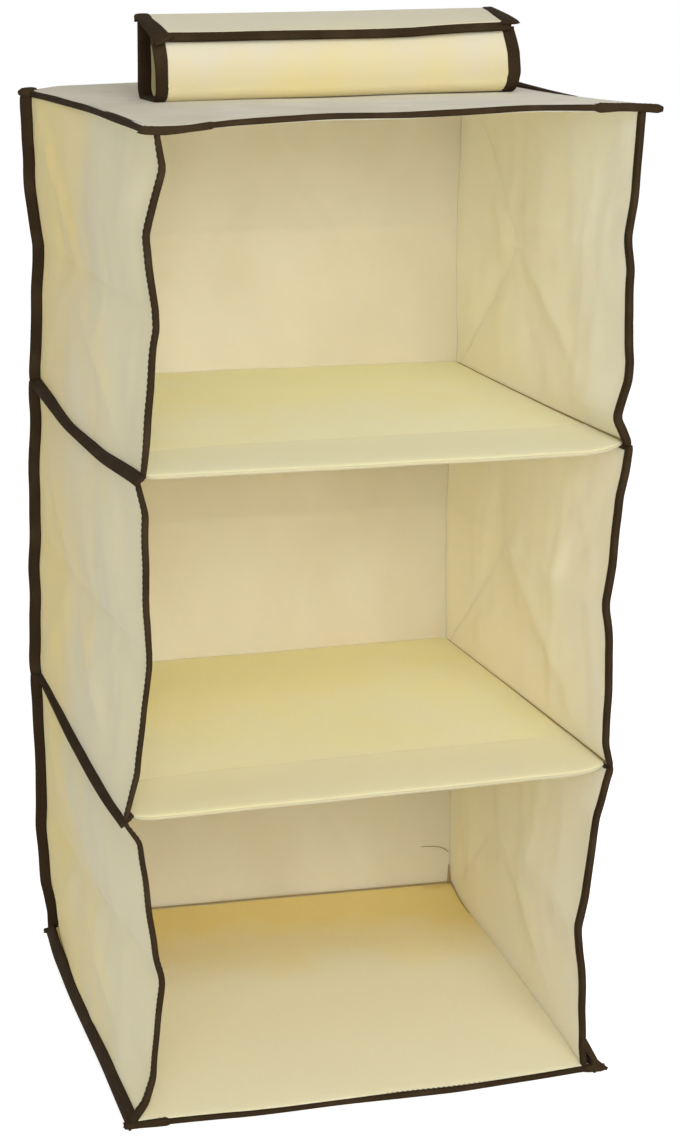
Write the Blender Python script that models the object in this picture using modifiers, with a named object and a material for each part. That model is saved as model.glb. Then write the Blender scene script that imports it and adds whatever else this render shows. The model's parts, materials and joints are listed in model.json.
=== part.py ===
"""A hanging fabric shelf that folds flat like a bellows.

Three open-fronted compartments hang under a stiff top panel, and a wide strap on the
panel closes round a rail. Every wall is creased at mid height and folds inwards, so
each shelf rises level and the whole box closes to a thin stack.

Metres. X runs across, +Y to the rear and +Z up. The origin is the middle of the rail
tunnel inside the strap, which is what the object hangs by.
"""

import math

import bmesh
import bpy
from mathutils import Matrix

# Overall sizes
WIDTH = 0.300  # over the edge tapes, without their loose ends
DEPTH = 0.290
PITCH = 0.196  # from the middle of one panel to the middle of the next

# Materials and sewing
FABRIC = 0.0006
BOARD = 0.0025
TAPE = 0.0055  # visible width of the edge tape
TAPE_THICKNESS = 0.0012
TAPE_END = 0.009  # loose end of the tape past each front corner
HEM_RISE = 0.0002  # how far a wall reaches past its fold line
GAP = 0.0003  # clearance between pieces that are sewn or laid together
WALL_SEAM = 0.0005  # from a panel's tape to the walls' outer faces
FOLD_LIMIT = math.radians(84)

# Shelves
STRIP_DEPTH = 0.062  # front strip that is turned back over the board
POCKET_SLIT = 0.0010  # mouth of the board's pocket, behind the strip
BOARD_SIDE_GAP = 0.002
BOARD_CORNER = 0.006

# Strap
STRAP_WIDTH = 0.232
STRAP_X = 0.0105  # middle of the strap from the middle of the panel
STRAP_Y = 0.020
STRAP_FABRIC = 0.0016
STRAP_DEPTH = 0.044  # over the two legs
STRAP_CORNER = 0.008
STRAP_TAPE = 0.009  # visible width of the tape round the strap's two ends
STRAP_TAPE_PROUD = 0.0004  # how far the end tapes stand out of the cradle
TAPE_STEP = 0.0003  # the tapes' inner edges
FRONT_LEG = 0.036
FRONT_LEG_BULGE = 0.0018
FLAP_SLOPE = math.radians(7)
FLAP_OVERHANG = 0.0025
FLAP_CLEARANCE = 0.0006  # from a leg's top to the leaf that is hinged there
WING_FABRIC = 0.0012
WING_LENGTH = 0.020
CLOSURE_TAPE = 0.0010
CLOSURE_WIDTH = 0.015
CLOSURE_SETBACK = 0.004  # from the wing's hinge to the closure tapes
CLOSURE_SIDE_GAP = 0.008

# Places that follow from the sizes
PANEL = BOARD + 2 * FABRIC + 2 * GAP
PANEL_X = WIDTH / 2 - TAPE_THICKNESS - GAP
PANEL_Y = DEPTH / 2 - TAPE_THICKNESS - GAP
WALL_X = WIDTH / 2 - TAPE_THICKNESS - WALL_SEAM
WALL_Y = DEPTH / 2 - TAPE_THICKNESS - WALL_SEAM
BACK_Y = WALL_Y - TAPE - GAP
HINGE_DROP = math.hypot(FABRIC, HEM_RISE) + GAP
HALF_WALL = (PITCH - PANEL) / 2 - HINGE_DROP
MITRE = (FABRIC / math.sin(FOLD_LIMIT) + GAP) * math.tan(FOLD_LIMIT)
LEG_Y = STRAP_DEPTH / 2
CRADLE_FLOOR = GAP + STRAP_TAPE_PROUD + STRAP_FABRIC
CLOSURE_STACK = 3 * GAP + 2 * CLOSURE_TAPE
REAR_LEG = (
    FRONT_LEG
    + STRAP_DEPTH * math.tan(FLAP_SLOPE)
    + (WING_FABRIC + CLOSURE_STACK) / math.cos(FLAP_SLOPE)
)
TUNNEL_HEIGHT = (CRADLE_FLOOR + FRONT_LEG) / 2
TOP_FACE = -TUNNEL_HEIGHT
BODY_Y = -STRAP_Y

COMPARTMENTS = ("top", "middle", "bottom")
PANELS = ("top", "upper_shelf", "lower_shelf", "bottom")
PANEL_Z = [TOP_FACE - PANEL / 2 - level * PITCH for level in range(len(PANELS))]

ROUND_STEPS = 6
WALL_TURNS = {
    "back": Matrix(((1, 0, 0), (0, 0, -1), (0, 1, 0))),
    "left": Matrix(((0, 0, 1), (1, 0, 0), (0, 1, 0))),
    "right": Matrix(((0, 0, -1), (-1, 0, 0), (0, 1, 0))),
}
LEVEL = Matrix.Identity(3)

world_frames = {}


def clear_scene():
    for obj in list(bpy.data.objects):
        bpy.data.objects.remove(obj, do_unlink=True)


def new_collection(name):
    collection = bpy.data.collections.new(name)
    bpy.context.scene.collection.children.link(collection)
    return collection


def new_material(name, colour, roughness):
    material = bpy.data.materials.new(name)
    material.use_nodes = True
    shader = material.node_tree.nodes["Principled BSDF"]
    shader.inputs["Base Color"].default_value = (*colour, 1)
    shader.inputs["Roughness"].default_value = roughness
    shader.inputs["Metallic"].default_value = 0
    material.diffuse_color = (*colour, 1)
    return material


def place(obj, parent, turn, position):
    """Puts obj at a world place, under its parent."""
    world = Matrix.Translation(position) @ turn.to_4x4()
    world_frames[obj.name] = world
    base = world_frames[parent.name].inverted() if parent else Matrix.Identity(4)
    obj.parent = parent
    obj.matrix_basis = base @ world


def pivot(name, parent, turn, position):
    """An empty on a joint's axis, which carries what turns there."""
    obj = bpy.data.objects.new(name, None)
    obj.empty_display_size = 0.02
    parts.objects.link(obj)
    place(obj, parent, turn, position)
    return obj


def add_mesh(name, mesh, finish, parent):
    """A sub-part whose mesh is drawn in its parent's own axes."""
    obj = bpy.data.objects.new(name, mesh)
    mesh.materials.clear()
    mesh.materials.append(finish)
    parts.objects.link(obj)
    world = world_frames[parent.name]
    place(obj, parent, world.to_3x3(), world.to_translation())
    return obj


def flat_mesh(name, outlines, thickness, lift):
    """Closed outlines in XY, thickened along Z from lift upwards. Inner outlines are holes."""
    curve = bpy.data.curves.new(name, "CURVE")
    curve.dimensions = "2D"
    curve.fill_mode = "BOTH"
    curve.extrude = thickness / 2
    for outline in outlines:
        spline = curve.splines.new("POLY")
        spline.points.add(len(outline) - 1)
        for point, (x, y) in zip(spline.points, outline):
            point.co = (x, y, 0, 1)
        spline.use_cyclic_u = True
    drawn = bpy.data.objects.new(name, curve)
    parts.objects.link(drawn)
    graph = bpy.context.evaluated_depsgraph_get()
    mesh = bpy.data.meshes.new_from_object(drawn.evaluated_get(graph))
    bpy.data.objects.remove(drawn, do_unlink=True)
    bpy.data.curves.remove(curve)
    shape = bmesh.new()
    shape.from_mesh(mesh)
    bmesh.ops.remove_doubles(shape, verts=shape.verts, dist=1e-6)
    bmesh.ops.translate(shape, verts=shape.verts, vec=(0, 0, lift + thickness / 2))
    shape.to_mesh(mesh)
    shape.free()
    return mesh


def plate(name, outlines, thickness, finish, parent, lift=0.0):
    return add_mesh(name, flat_mesh(name, outlines, thickness, lift), finish, parent)


def ribbon(name, path, stations, thickness, finish, parent, closed=False):
    """A bent sheet: a path in YZ drawn out along X through its stations, thickened to both sides."""
    shape = bmesh.new()
    row = [shape.verts.new((stations[0], y, z)) for y, z in path]
    pairs = list(zip(row, row[1:] + row[:1]))
    if not closed:
        pairs.pop()
    edges = [shape.edges.new(pair) for pair in pairs]
    for before, after in zip(stations, stations[1:]):
        drawn = bmesh.ops.extrude_edge_only(shape, edges=edges)["geom"]
        moved = [item for item in drawn if isinstance(item, bmesh.types.BMVert)]
        edges = [item for item in drawn if isinstance(item, bmesh.types.BMEdge)]
        bmesh.ops.translate(shape, verts=moved, vec=(after - before, 0, 0))
    bmesh.ops.recalc_face_normals(shape, faces=shape.faces)
    mesh = bpy.data.meshes.new(name)
    shape.to_mesh(mesh)
    shape.free()
    mesh.shade_smooth()
    mesh.set_sharp_from_angle(angle=math.radians(40))
    obj = add_mesh(name, mesh, finish, parent)
    wall = obj.modifiers.new("cloth", "SOLIDIFY")
    wall.thickness = thickness
    wall.offset = 0
    wall.use_even_offset = True
    return obj


def arc(centre, radius, start, end):
    """Points on an arc, from one angle to another, in degrees."""
    turns = (math.radians(start + (end - start) * n / ROUND_STEPS) for n in range(ROUND_STEPS + 1))
    return [(centre[0] + radius * math.cos(t), centre[1] + radius * math.sin(t)) for t in turns]


def rectangle(left, front, right, rear):
    return [(left, front), (right, front), (right, rear), (left, rear)]


def rounded_rectangle(half_x, half_y, radius):
    corners = ((1, 1, 0), (-1, 1, 90), (-1, -1, 180), (1, -1, 270))
    points = []
    for x, y, angle in corners:
        centre = (x * (half_x - radius), y * (half_y - radius))
        points += arc(centre, radius, angle, angle + 90)
    return points


def flattened_tube(front, rear, half_height):
    """A path round a thin panel: over the top from its front, and back underneath."""
    return arc((rear - half_height, 0), half_height, 90, -90) + arc(
        (front + half_height, 0), half_height, -90, -270
    )


def panel_cover(name, parent):
    """A sleeve of cloth round a board, open at its two sides, where the edge tape closes it."""
    half_height = (PANEL - FABRIC) / 2
    reach = PANEL_Y - FABRIC / 2
    path = flattened_tube(-reach, reach, half_height)
    return ribbon(name, path, (-PANEL_X, PANEL_X), FABRIC, cloth, parent, closed=True)


def shelf_sleeve(name, parent):
    """A sleeve whose front strip is turned back over the board. The slit behind it is the pocket's mouth."""
    half_height = (PANEL - FABRIC) / 2
    reach = PANEL_Y - FABRIC / 2
    slit = -PANEL_Y + STRIP_DEPTH
    path = [(slit + POCKET_SLIT / 2, half_height)]
    path += flattened_tube(-reach, reach, half_height)
    path.append((slit - POCKET_SLIT / 2, half_height))
    return ribbon(name, path, (-PANEL_X, PANEL_X), FABRIC, cloth, parent)


def stiff_board(name, parent):
    half_x = PANEL_X - BOARD_SIDE_GAP
    half_y = PANEL_Y - PANEL / 2 - GAP
    outline = rounded_rectangle(half_x, half_y, BOARD_CORNER)
    return plate(name, [outline], BOARD, card, parent, lift=-BOARD / 2)


def edge_tape_ring(name, parent):
    """The tape round a panel's four edges, with its loose ends past the two front corners."""
    x, y = WIDTH / 2, DEPTH / 2
    inner_front = -y + TAPE_THICKNESS
    outer = [
        (-x - TAPE_END, -y),
        (x + TAPE_END, -y),
        (x + TAPE_END, inner_front),
        (x, inner_front),
        (x, y),
        (-x, y),
        (-x, inner_front),
        (-x - TAPE_END, inner_front),
    ]
    inner = rectangle(-PANEL_X - GAP, -PANEL_Y - GAP, PANEL_X + GAP, PANEL_Y + GAP)
    return plate(name, [outer, inner], TAPE, tape, parent, lift=-TAPE / 2)


def shelf_seam_tape(name, parent):
    """The bound seam round a shelf's left, rear and right edges."""
    x, y = WIDTH / 2, DEPTH / 2
    inner_x, inner_y = PANEL_X + GAP, PANEL_Y + GAP
    outline = [
        (-x, -PANEL_Y),
        (-inner_x, -PANEL_Y),
        (-inner_x, inner_y),
        (inner_x, inner_y),
        (inner_x, -PANEL_Y),
        (x, -PANEL_Y),
        (x, y),
        (-x, y),
    ]
    return plate(name, [outline], TAPE, tape, parent, lift=-TAPE / 2)


def mitred_edge(drop):
    """Where a side wall ends at the rear, at a drop below its upper fold line."""
    return BACK_Y - MITRE - min(drop, 2 * HALF_WALL - drop)


def half_spans():
    """For the two halves of a wall, the drops of their ends and of their own fold line."""
    crease_gap = GAP / 2
    return {
        "upper": (-HEM_RISE, HALF_WALL - crease_gap, 0),
        "lower": (HALF_WALL + crease_gap, 2 * HALF_WALL + HEM_RISE, HALF_WALL),
    }


def back_half(name, span, parent):
    top, bottom, fold = span
    reach = WALL_X - FABRIC - GAP
    outline = rectangle(-reach, fold - bottom, reach, fold - top)
    return plate(name, [outline], FABRIC, cloth, parent)


def side_half(name, span, side, parent):
    """Half a side wall, cut at 45 degrees at the rear so that it clears the back wall's folds."""
    top, bottom, fold = span
    front = -WALL_Y + TAPE + GAP
    outline = [
        (side * front, fold - top),
        (side * mitred_edge(top), fold - top),
        (side * mitred_edge(bottom), fold - bottom),
        (side * front, fold - bottom),
    ]
    return plate(name, [outline], FABRIC, cloth, parent)


def side_half_tape(name, span, side, parent):
    top, bottom, fold = span
    outline = rectangle(-side * WALL_Y, fold - bottom, side * (TAPE - WALL_Y), fold - top)
    return plate(name, [outline], FABRIC, tape, parent)


def corner_gusset(name, side, parent):
    """The loose cloth between a side wall's mitred halves and the rear corner. It crumples in the fold."""
    top = GAP - HINGE_DROP
    bottom = 2 * HALF_WALL - top
    seam = GAP * math.sqrt(2)
    outline = [
        (side * BACK_Y, -top),
        (side * (mitred_edge(top) + seam), -top),
        (side * (mitred_edge(HALF_WALL) + seam), -HALF_WALL),
        (side * (mitred_edge(bottom) + seam), -bottom),
        (side * BACK_Y, -bottom),
    ]
    return plate(name, [outline], FABRIC, cloth, parent)


def rear_corner_tape(name, side, parent):
    top = GAP - HINGE_DROP
    bottom = 2 * HALF_WALL - top
    outline = rectangle(side * (BACK_Y + GAP), -bottom, side * WALL_Y, -top)
    return plate(name, [outline], FABRIC, tape, parent)


def side_wall(level, side_name, upper_panel, hinge_z):
    """A creased side wall: two hinged halves with their front tapes, and the loose rear corner."""
    side = 1 if side_name == "left" else -1
    name = f"{level}_{side_name}"
    turn = WALL_TURNS[side_name]
    x = -side * WALL_X
    wall = pivot(f"{name}_wall", upper_panel, turn, (x, BODY_Y, hinge_z))
    crease = pivot(f"{name}_crease", wall, turn, (x, BODY_Y, hinge_z - HALF_WALL))
    for half, span, joint in zip(("upper", "lower"), half_spans().values(), (wall, crease)):
        side_half(f"{name}_{half}", span, side, joint)
        side_half_tape(f"{name}_{half}_tape", span, side, joint)
    corner = pivot(f"{name}_corner", upper_panel, turn, (x, BODY_Y, hinge_z))
    corner_gusset(f"{name}_gusset", side, corner)
    rear_corner_tape(f"{name}_rear_tape", side, corner)


def back_wall(level, upper_panel, hinge_z):
    """A creased back wall. It returns the empty on its lower fold line, which carries the next panel."""
    turn = WALL_TURNS["back"]
    y = BODY_Y + BACK_Y
    fold = pivot(f"fold_{level}", upper_panel, turn, (0, y, hinge_z))
    crease = pivot(f"{level}_back_crease", fold, turn, (0, y, hinge_z - HALF_WALL))
    for half, span, joint in zip(("upper", "lower"), half_spans().values(), (fold, crease)):
        back_half(f"{level}_back_{half}", span, joint)
    return pivot(f"{level}_panel_hinge", crease, LEVEL, (0, y, hinge_z - 2 * HALF_WALL))


def strap_path():
    """The cradle's middle line, from the rear leg's top round the floor to the front leg's top."""
    reach = LEG_Y - STRAP_FABRIC / 2
    floor = CRADLE_FLOOR - STRAP_FABRIC / 2
    rear_centre = (reach - STRAP_CORNER, floor + STRAP_CORNER)
    front_centre = (STRAP_CORNER - reach, floor + STRAP_CORNER)
    path = [(reach, REAR_LEG - FLAP_CLEARANCE)]
    path += arc(rear_centre, STRAP_CORNER, 0, -90)
    path += arc(front_centre, STRAP_CORNER, -90, -180)
    rise = FRONT_LEG - front_centre[1]
    for n in range(1, ROUND_STEPS + 1):
        part = n / ROUND_STEPS
        path.append((-reach - FRONT_LEG_BULGE * math.sin(math.pi * part), front_centre[1] + rise * part))
    return path


def strap_cradle(parent):
    """The part of the strap that is sewn to the panel. The tapes round its two ends make them thicker."""
    end = STRAP_WIDTH / 2
    inner = end - STRAP_TAPE
    stations = (-end, -inner, TAPE_STEP - inner, inner - TAPE_STEP, inner, end)
    bound = STRAP_FABRIC + 2 * STRAP_TAPE_PROUD
    cradle = ribbon("strap_cradle", strap_path(), stations, bound, cloth, parent)
    ends = cradle.vertex_groups.new(name="bound ends")
    taped = [vertex.index for vertex in cradle.data.vertices if abs(vertex.co.x) > inner - TAPE_STEP / 2]
    ends.add(taped, 1, "REPLACE")
    wall = cradle.modifiers["cloth"]
    wall.vertex_group = ends.name
    wall.thickness_vertex_group = STRAP_FABRIC / bound


def strap_flap(parent):
    """The leaf over the tunnel: cloth with a tape round its two ends and its front edge."""
    half = STRAP_WIDTH / 2
    length = STRAP_DEPTH / math.cos(FLAP_SLOPE) + FLAP_OVERHANG
    inner = half - STRAP_TAPE
    front = TAPE - length
    leaf = rectangle(GAP - inner, front + GAP, inner - GAP, 0)
    plate("strap_flap", [leaf], STRAP_FABRIC, cloth, parent, lift=FLAP_CLEARANCE)
    edge = [
        (-half, 0),
        (-half, -length),
        (half, -length),
        (half, 0),
        (inner, 0),
        (inner, front),
        (-inner, front),
        (-inner, 0),
    ]
    plate("strap_flap_tape", [edge], STRAP_FABRIC, tape, parent, lift=FLAP_CLEARANCE)
    hook_front = CLOSURE_SETBACK - STRAP_DEPTH / math.cos(FLAP_SLOPE)
    reach = inner - CLOSURE_SIDE_GAP
    hook = rectangle(-reach, hook_front, reach, hook_front + CLOSURE_WIDTH)
    lift = FLAP_CLEARANCE - GAP - CLOSURE_TAPE
    plate("strap_hook_tape", [hook], CLOSURE_TAPE, closure, parent, lift=lift)


def strap_wing(parent):
    """The inner leaf on the front leg, which the flap closes on."""
    half = STRAP_WIDTH / 2 - STRAP_TAPE
    leaf = rectangle(-half, 0, half, WING_LENGTH)
    plate("strap_wing", [leaf], WING_FABRIC, cloth, parent, lift=FLAP_CLEARANCE)
    reach = half - CLOSURE_SIDE_GAP
    loop = rectangle(-reach, CLOSURE_SETBACK, reach, CLOSURE_SETBACK + CLOSURE_WIDTH)
    lift = FLAP_CLEARANCE + WING_FABRIC + GAP
    plate("strap_loop_tape", [loop], CLOSURE_TAPE, closure, parent, lift=lift)


def strap(parent):
    base = pivot("strap_base", parent, LEVEL, (STRAP_X, 0, TOP_FACE))
    strap_cradle(base)
    slope = Matrix.Rotation(FLAP_SLOPE, 3, "X")
    flap_axis = (STRAP_X, LEG_Y, TOP_FACE + REAR_LEG)
    strap_flap(pivot("flap_open", base, slope, flap_axis))
    wing_axis = (STRAP_X, -LEG_Y, TOP_FACE + FRONT_LEG)
    strap_wing(pivot("wing_open", base, slope, wing_axis))


def panel(index, parent):
    """A stiff panel: board, cloth and tape. The first and last are closed, and the others are shelves."""
    name = PANELS[index]
    middle = pivot(f"{name}_panel", parent, LEVEL, (0, BODY_Y, PANEL_Z[index]))
    stiff_board(f"{name}_board", middle)
    if 0 < index < len(PANELS) - 1:
        shelf_sleeve(f"{name}_sleeve", middle)
        shelf_seam_tape(f"{name}_tape", middle)
    else:
        panel_cover(f"{name}_cover", middle)
        edge_tape_ring(f"{name}_tape", middle)
    return middle


def build():
    carrier = pivot("hanging_shelf", None, LEVEL, (0, 0, 0))
    strap(carrier)
    upper = panel(0, carrier)
    for index, level in enumerate(COMPARTMENTS):
        hinge_z = PANEL_Z[index] - PANEL / 2 - HINGE_DROP
        for side_name in ("left", "right"):
            side_wall(level, side_name, upper, hinge_z)
        lower_hinge = back_wall(level, upper, hinge_z)
        upper = panel(index + 1, lower_hinge)


clear_scene()
parts = new_collection("hanging_shelf")
cloth = new_material("cream_fabric", (0.80, 0.73, 0.52), 0.85)
tape = new_material("brown_edge_tape", (0.045, 0.026, 0.018), 0.7)
card = new_material("stiff_board", (0.42, 0.38, 0.31), 0.9)
closure = new_material("closure_tape", (0.72, 0.66, 0.48), 0.95)
build()
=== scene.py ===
# %% [markdown]
# # A hanging fabric shelf, sewn in Blender
#
# This lesson dresses a folding hanging shelf. The real one is sewn from stiff non-woven
# cloth: four boards in cloth pockets, creased walls between them, dark tape round every
# raw edge, and a wide strap on top that closes round a rail. It has no frame, so nothing
# on it is quite straight. The lesson shows how to get that look from rules: seams are
# curves, walls are sheets stretched between seams, and tapes are swept along the edges.

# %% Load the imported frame
import json
import math
from functools import partial

import bmesh
import bpy
import numpy as np
from mathutils import Matrix, Vector


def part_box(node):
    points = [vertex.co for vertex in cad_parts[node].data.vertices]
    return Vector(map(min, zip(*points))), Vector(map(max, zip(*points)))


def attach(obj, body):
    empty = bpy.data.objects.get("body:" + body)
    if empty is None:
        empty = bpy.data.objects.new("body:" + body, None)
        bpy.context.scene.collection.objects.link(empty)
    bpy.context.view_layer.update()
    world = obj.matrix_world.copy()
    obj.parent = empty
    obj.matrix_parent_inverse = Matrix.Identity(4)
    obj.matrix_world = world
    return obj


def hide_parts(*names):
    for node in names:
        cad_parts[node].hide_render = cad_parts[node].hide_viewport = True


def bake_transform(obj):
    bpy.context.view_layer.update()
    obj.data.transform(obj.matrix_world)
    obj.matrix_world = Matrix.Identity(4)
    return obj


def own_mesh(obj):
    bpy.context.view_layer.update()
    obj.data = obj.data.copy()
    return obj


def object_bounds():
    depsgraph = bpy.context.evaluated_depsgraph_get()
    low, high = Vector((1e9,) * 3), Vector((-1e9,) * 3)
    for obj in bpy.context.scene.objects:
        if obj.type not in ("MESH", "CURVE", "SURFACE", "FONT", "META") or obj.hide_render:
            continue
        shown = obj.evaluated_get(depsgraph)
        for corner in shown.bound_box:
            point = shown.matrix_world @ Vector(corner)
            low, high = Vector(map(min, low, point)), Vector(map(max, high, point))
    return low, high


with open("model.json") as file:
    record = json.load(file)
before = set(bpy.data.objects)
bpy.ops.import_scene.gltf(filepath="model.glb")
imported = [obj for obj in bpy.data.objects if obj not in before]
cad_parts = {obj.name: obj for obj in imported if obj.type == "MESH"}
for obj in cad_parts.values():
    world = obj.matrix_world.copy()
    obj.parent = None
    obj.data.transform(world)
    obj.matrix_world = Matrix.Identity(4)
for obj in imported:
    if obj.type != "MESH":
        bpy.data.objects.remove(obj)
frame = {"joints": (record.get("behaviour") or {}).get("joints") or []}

cad_low, cad_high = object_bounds()
print("CAD box", [round(v, 4) for v in (*cad_low, *cad_high)])

# %% [markdown]
# ## Sizes from the frame
#
# The frame knows where the fold lines and the panels are. Everything below is measured
# from them, so a shelf of another size would be dressed the same way. Z runs up, +Y is
# the closed back and X runs along the rail.

# %% Sizes from the frame
LEVELS = ("top", "middle", "bottom")
PANELS = ("top", "upper_shelf", "lower_shelf", "bottom")
PANEL_BODIES = ("top_panel", "upper_shelf", "lower_shelf", "bottom_panel")
SIDES = {"left": -1, "right": 1}
joint_place = {joint["name"]: Vector(joint["pos_m"]) for joint in frame["joints"]}

panel_boxes = [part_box(f"{name}_board") for name in PANELS]
PANEL_Z = [(low.z + high.z) / 2 for low, high in panel_boxes]
cover_low, cover_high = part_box("top_cover")
PANEL_HALF = (cover_high.z - cover_low.z) / 2
PANEL_X = cover_high.x
PANEL_FRONT = cover_low.y
PANEL_REAR = cover_high.y
MIDDLE_Y = (PANEL_FRONT + PANEL_REAR) / 2
WALL_X = joint_place["top_right_wall"].x
WALL_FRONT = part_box("top_left_upper_tape")[0].y
CORNER_Y = joint_place["fold_top"].y
tape_low, tape_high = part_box("top_tape")
TAPE_WIDTH = tape_high.z - tape_low.z
HINGE_Z = [joint_place[f"fold_{level}"].z for level in LEVELS]
CREASE_Z = [joint_place[f"{level}_back_crease"].z for level in LEVELS]
LOWER_HINGE_Z = [joint_place[f"{level}_panel_hinge"].z for level in LEVELS]
CLOTH = 0.0007  # thickness
print("panel heights", [round(z, 4) for z in PANEL_Z], "wall x", round(WALL_X, 4))
print("wall depth", round(WALL_FRONT, 4), "to", round(CORNER_Y, 4), "tape", round(TAPE_WIDTH, 4))

# %% [markdown]
# ## The camera
#
# The shelf is seen from its left and from a little above. The camera's place was worked
# out from where the corners of the panels fall in a picture of 680 by 1144 pixels. It
# is made early, because every later choice is judged from it.

# %% The camera
PICTURE = (680, 1144)
AZIMUTH = math.radians(-18.27)
ELEVATION = math.radians(15.57)
ROLL = math.radians(1.12)
DISTANCE = 1.579
FOCAL_PIXELS = 2458.5
TARGET = Vector((0.0183, -0.0200, -0.3193))
SENSOR = 36.0
scene = bpy.context.scene


def add_object(name, data):
    obj = bpy.data.objects.new(name, data)
    scene.collection.objects.link(obj)
    return obj


back = Vector((
    math.sin(AZIMUTH) * math.cos(ELEVATION),
    -math.cos(AZIMUTH) * math.cos(ELEVATION),
    math.sin(ELEVATION),
))
lens_data = bpy.data.cameras.new("camera")
lens_data.sensor_width = SENSOR
lens_data.lens = SENSOR * FOCAL_PIXELS / max(PICTURE)
lens_data.clip_start = 0.05
lens_data.clip_end = 30
camera = add_object("camera", lens_data)
camera.location = TARGET + back * DISTANCE
turn = (-back).to_track_quat("-Z", "Y").to_matrix() @ Matrix.Rotation(ROLL, 3, "Z")
camera.rotation_euler = turn.to_euler()
scene.camera = camera
print("camera at", [round(v, 3) for v in camera.location], "lens", round(lens_data.lens, 1))

# %% [markdown]
# ## Nodes in few lines
#
# Materials, the world and the stitches are all node trees. Three small helpers make them
# readable: one sets or links inputs, one adds a node and returns its outputs, and one
# adds a Math node. So a tree is written in the order in which its values flow.

# %% Helpers for node trees
def feed(tree, inputs, values):
    """Sets inputs, by name or number, to numbers, colours or vectors, or links outputs to them."""
    for key, value in values.items():
        socket = inputs[key]
        if isinstance(value, bpy.types.NodeSocket):
            tree.links.new(value, socket)
        elif isinstance(value, tuple):
            socket.default_value = (*value, 1)[:len(socket.default_value)]
        else:
            socket.default_value = value


def node(tree, kind, inputs, **settings):
    """Adds a node, makes its settings and feeds its inputs. It returns its outputs."""
    made = tree.nodes.new(kind)
    for label, value in settings.items():
        setattr(made, label, value)
    feed(tree, made.inputs, inputs)
    return made.outputs


def math_node(tree, operation, *values):
    return node(tree, "ShaderNodeMath", dict(enumerate(values)), operation=operation)[0]


# %% [markdown]
# ## Light, floor and a white surround
#
# A studio picture of pale cloth needs much even light and a broad soft key from the
# camera's side. The world gives the even light, and two area lamps give the rest. For
# camera, mirror and glass rays the world is plain white, so the surround is white and
# the cloth isn't lit more for it. The floor adds a little of its own glow in the same
# way, which hides it except where the shelf shades it.

# %% Light, floor and surround
AMBIENT = 0.40
LAMPS = {  # place, side and watts
    "key": ((-0.55, -2.0, -0.10), 1.6, 21.0),
    "overhead": ((-0.10, -1.9, 0.80), 1.2, 28.5),
}
LAMP_AIM = Vector((0, 0, -0.3))
FLOOR_Z = cad_low.z - 0.0120
FLOOR_REACH = 6


def seen_directly(tree):
    """A value of 1 for camera, glossy and transmission rays, and 0 for the rays that light the cloth."""
    ray = node(tree, "ShaderNodeLightPath", {})
    direct = math_node(tree, "MAXIMUM", ray["Is Camera Ray"], ray["Is Glossy Ray"])
    return math_node(tree, "MAXIMUM", direct, ray["Is Transmission Ray"])


scene.view_settings.view_transform = "Standard"
scene.world = bpy.data.worlds.new("studio")
scene.world.use_nodes = True
surround = scene.world.node_tree
surround.nodes.clear()
lit = node(surround, "ShaderNodeBackground", {"Color": (1.0, 0.985, 0.965), "Strength": AMBIENT})
white = node(surround, "ShaderNodeBackground", {"Color": (1, 1, 1), "Strength": 1.0})
chosen = node(surround, "ShaderNodeMixShader", {0: seen_directly(surround), 1: lit[0], 2: white[0]})
node(surround, "ShaderNodeOutputWorld", {"Surface": chosen[0]})

for name, (place, side, watts) in LAMPS.items():
    lamp = bpy.data.lights.new(name, "AREA")
    lamp.shape = "SQUARE"
    lamp.size = side
    lamp.energy = watts
    holder = add_object(name, lamp)
    holder.location = place
    holder.rotation_euler = (LAMP_AIM - Vector(place)).to_track_quat("-Z", "Y").to_euler()

floor_shape = bmesh.new()
bmesh.ops.create_grid(floor_shape, x_segments=1, y_segments=1, size=FLOOR_REACH)
floor_mesh = bpy.data.meshes.new("floor")
floor_shape.to_mesh(floor_mesh)
floor_shape.free()
floor_mesh.transform(Matrix.Translation((0, 0, FLOOR_Z)))
floor = add_object("floor", floor_mesh)
paint = bpy.data.materials.new("floor_paint")
paint.use_nodes = True
feed(paint.node_tree, paint.node_tree.nodes["Principled BSDF"].inputs, {
    "Base Color": (0.9, 0.9, 0.9),
    "Roughness": 1,
    "Specular IOR Level": 0,
    "Emission Strength": 0.7,
    "Emission Color": seen_directly(paint.node_tree),
})
floor_mesh.materials.append(paint)
print("floor at", round(FLOOR_Z, 4))

# %% [markdown]
# ## The grain of the cloth
#
# The cloth isn't woven. Loose fibres are pressed between a warm roller and one with rows
# of pins, which leave a fine grid of sunken dots. A shader group makes that from the UV
# map, whose units are metres on the flat cloth, so the dots have one size on every
# piece. It gives a height for the bump and a shade that darkens each dot a little.

# %% Helpers for shaders
def parts(tree, vector):
    """The X, Y and Z of a vector, as outputs with these names."""
    return node(tree, "ShaderNodeSeparateXYZ", {0: vector})


def noise_value(tree, vector, scale, detail, roughness=0.5, distortion=0.0):
    inputs = {"Vector": vector, "Scale": scale, "Detail": detail, "Roughness": roughness}
    return node(tree, "ShaderNodeTexNoise", {**inputs, "Distortion": distortion})["Fac"]


def remap(tree, value, low, high, to_low, to_high):
    inputs = dict(enumerate((value, low, high, to_low, to_high)))
    return node(tree, "ShaderNodeMapRange", inputs)["Result"]


def new_group(name, inputs, outputs):
    """A shader node group of numbers. It returns the group, its given values and its texture coordinates."""
    group = bpy.data.node_groups.new(name, "ShaderNodeTree")
    for label, default in inputs.items():
        socket = group.interface.new_socket(label, in_out="INPUT", socket_type="NodeSocketFloat")
        socket.default_value = default
    for label in outputs:
        group.interface.new_socket(label, in_out="OUTPUT", socket_type="NodeSocketFloat")
    return group, node(group, "NodeGroupInput", {}), node(group, "ShaderNodeTexCoord", {})


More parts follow.
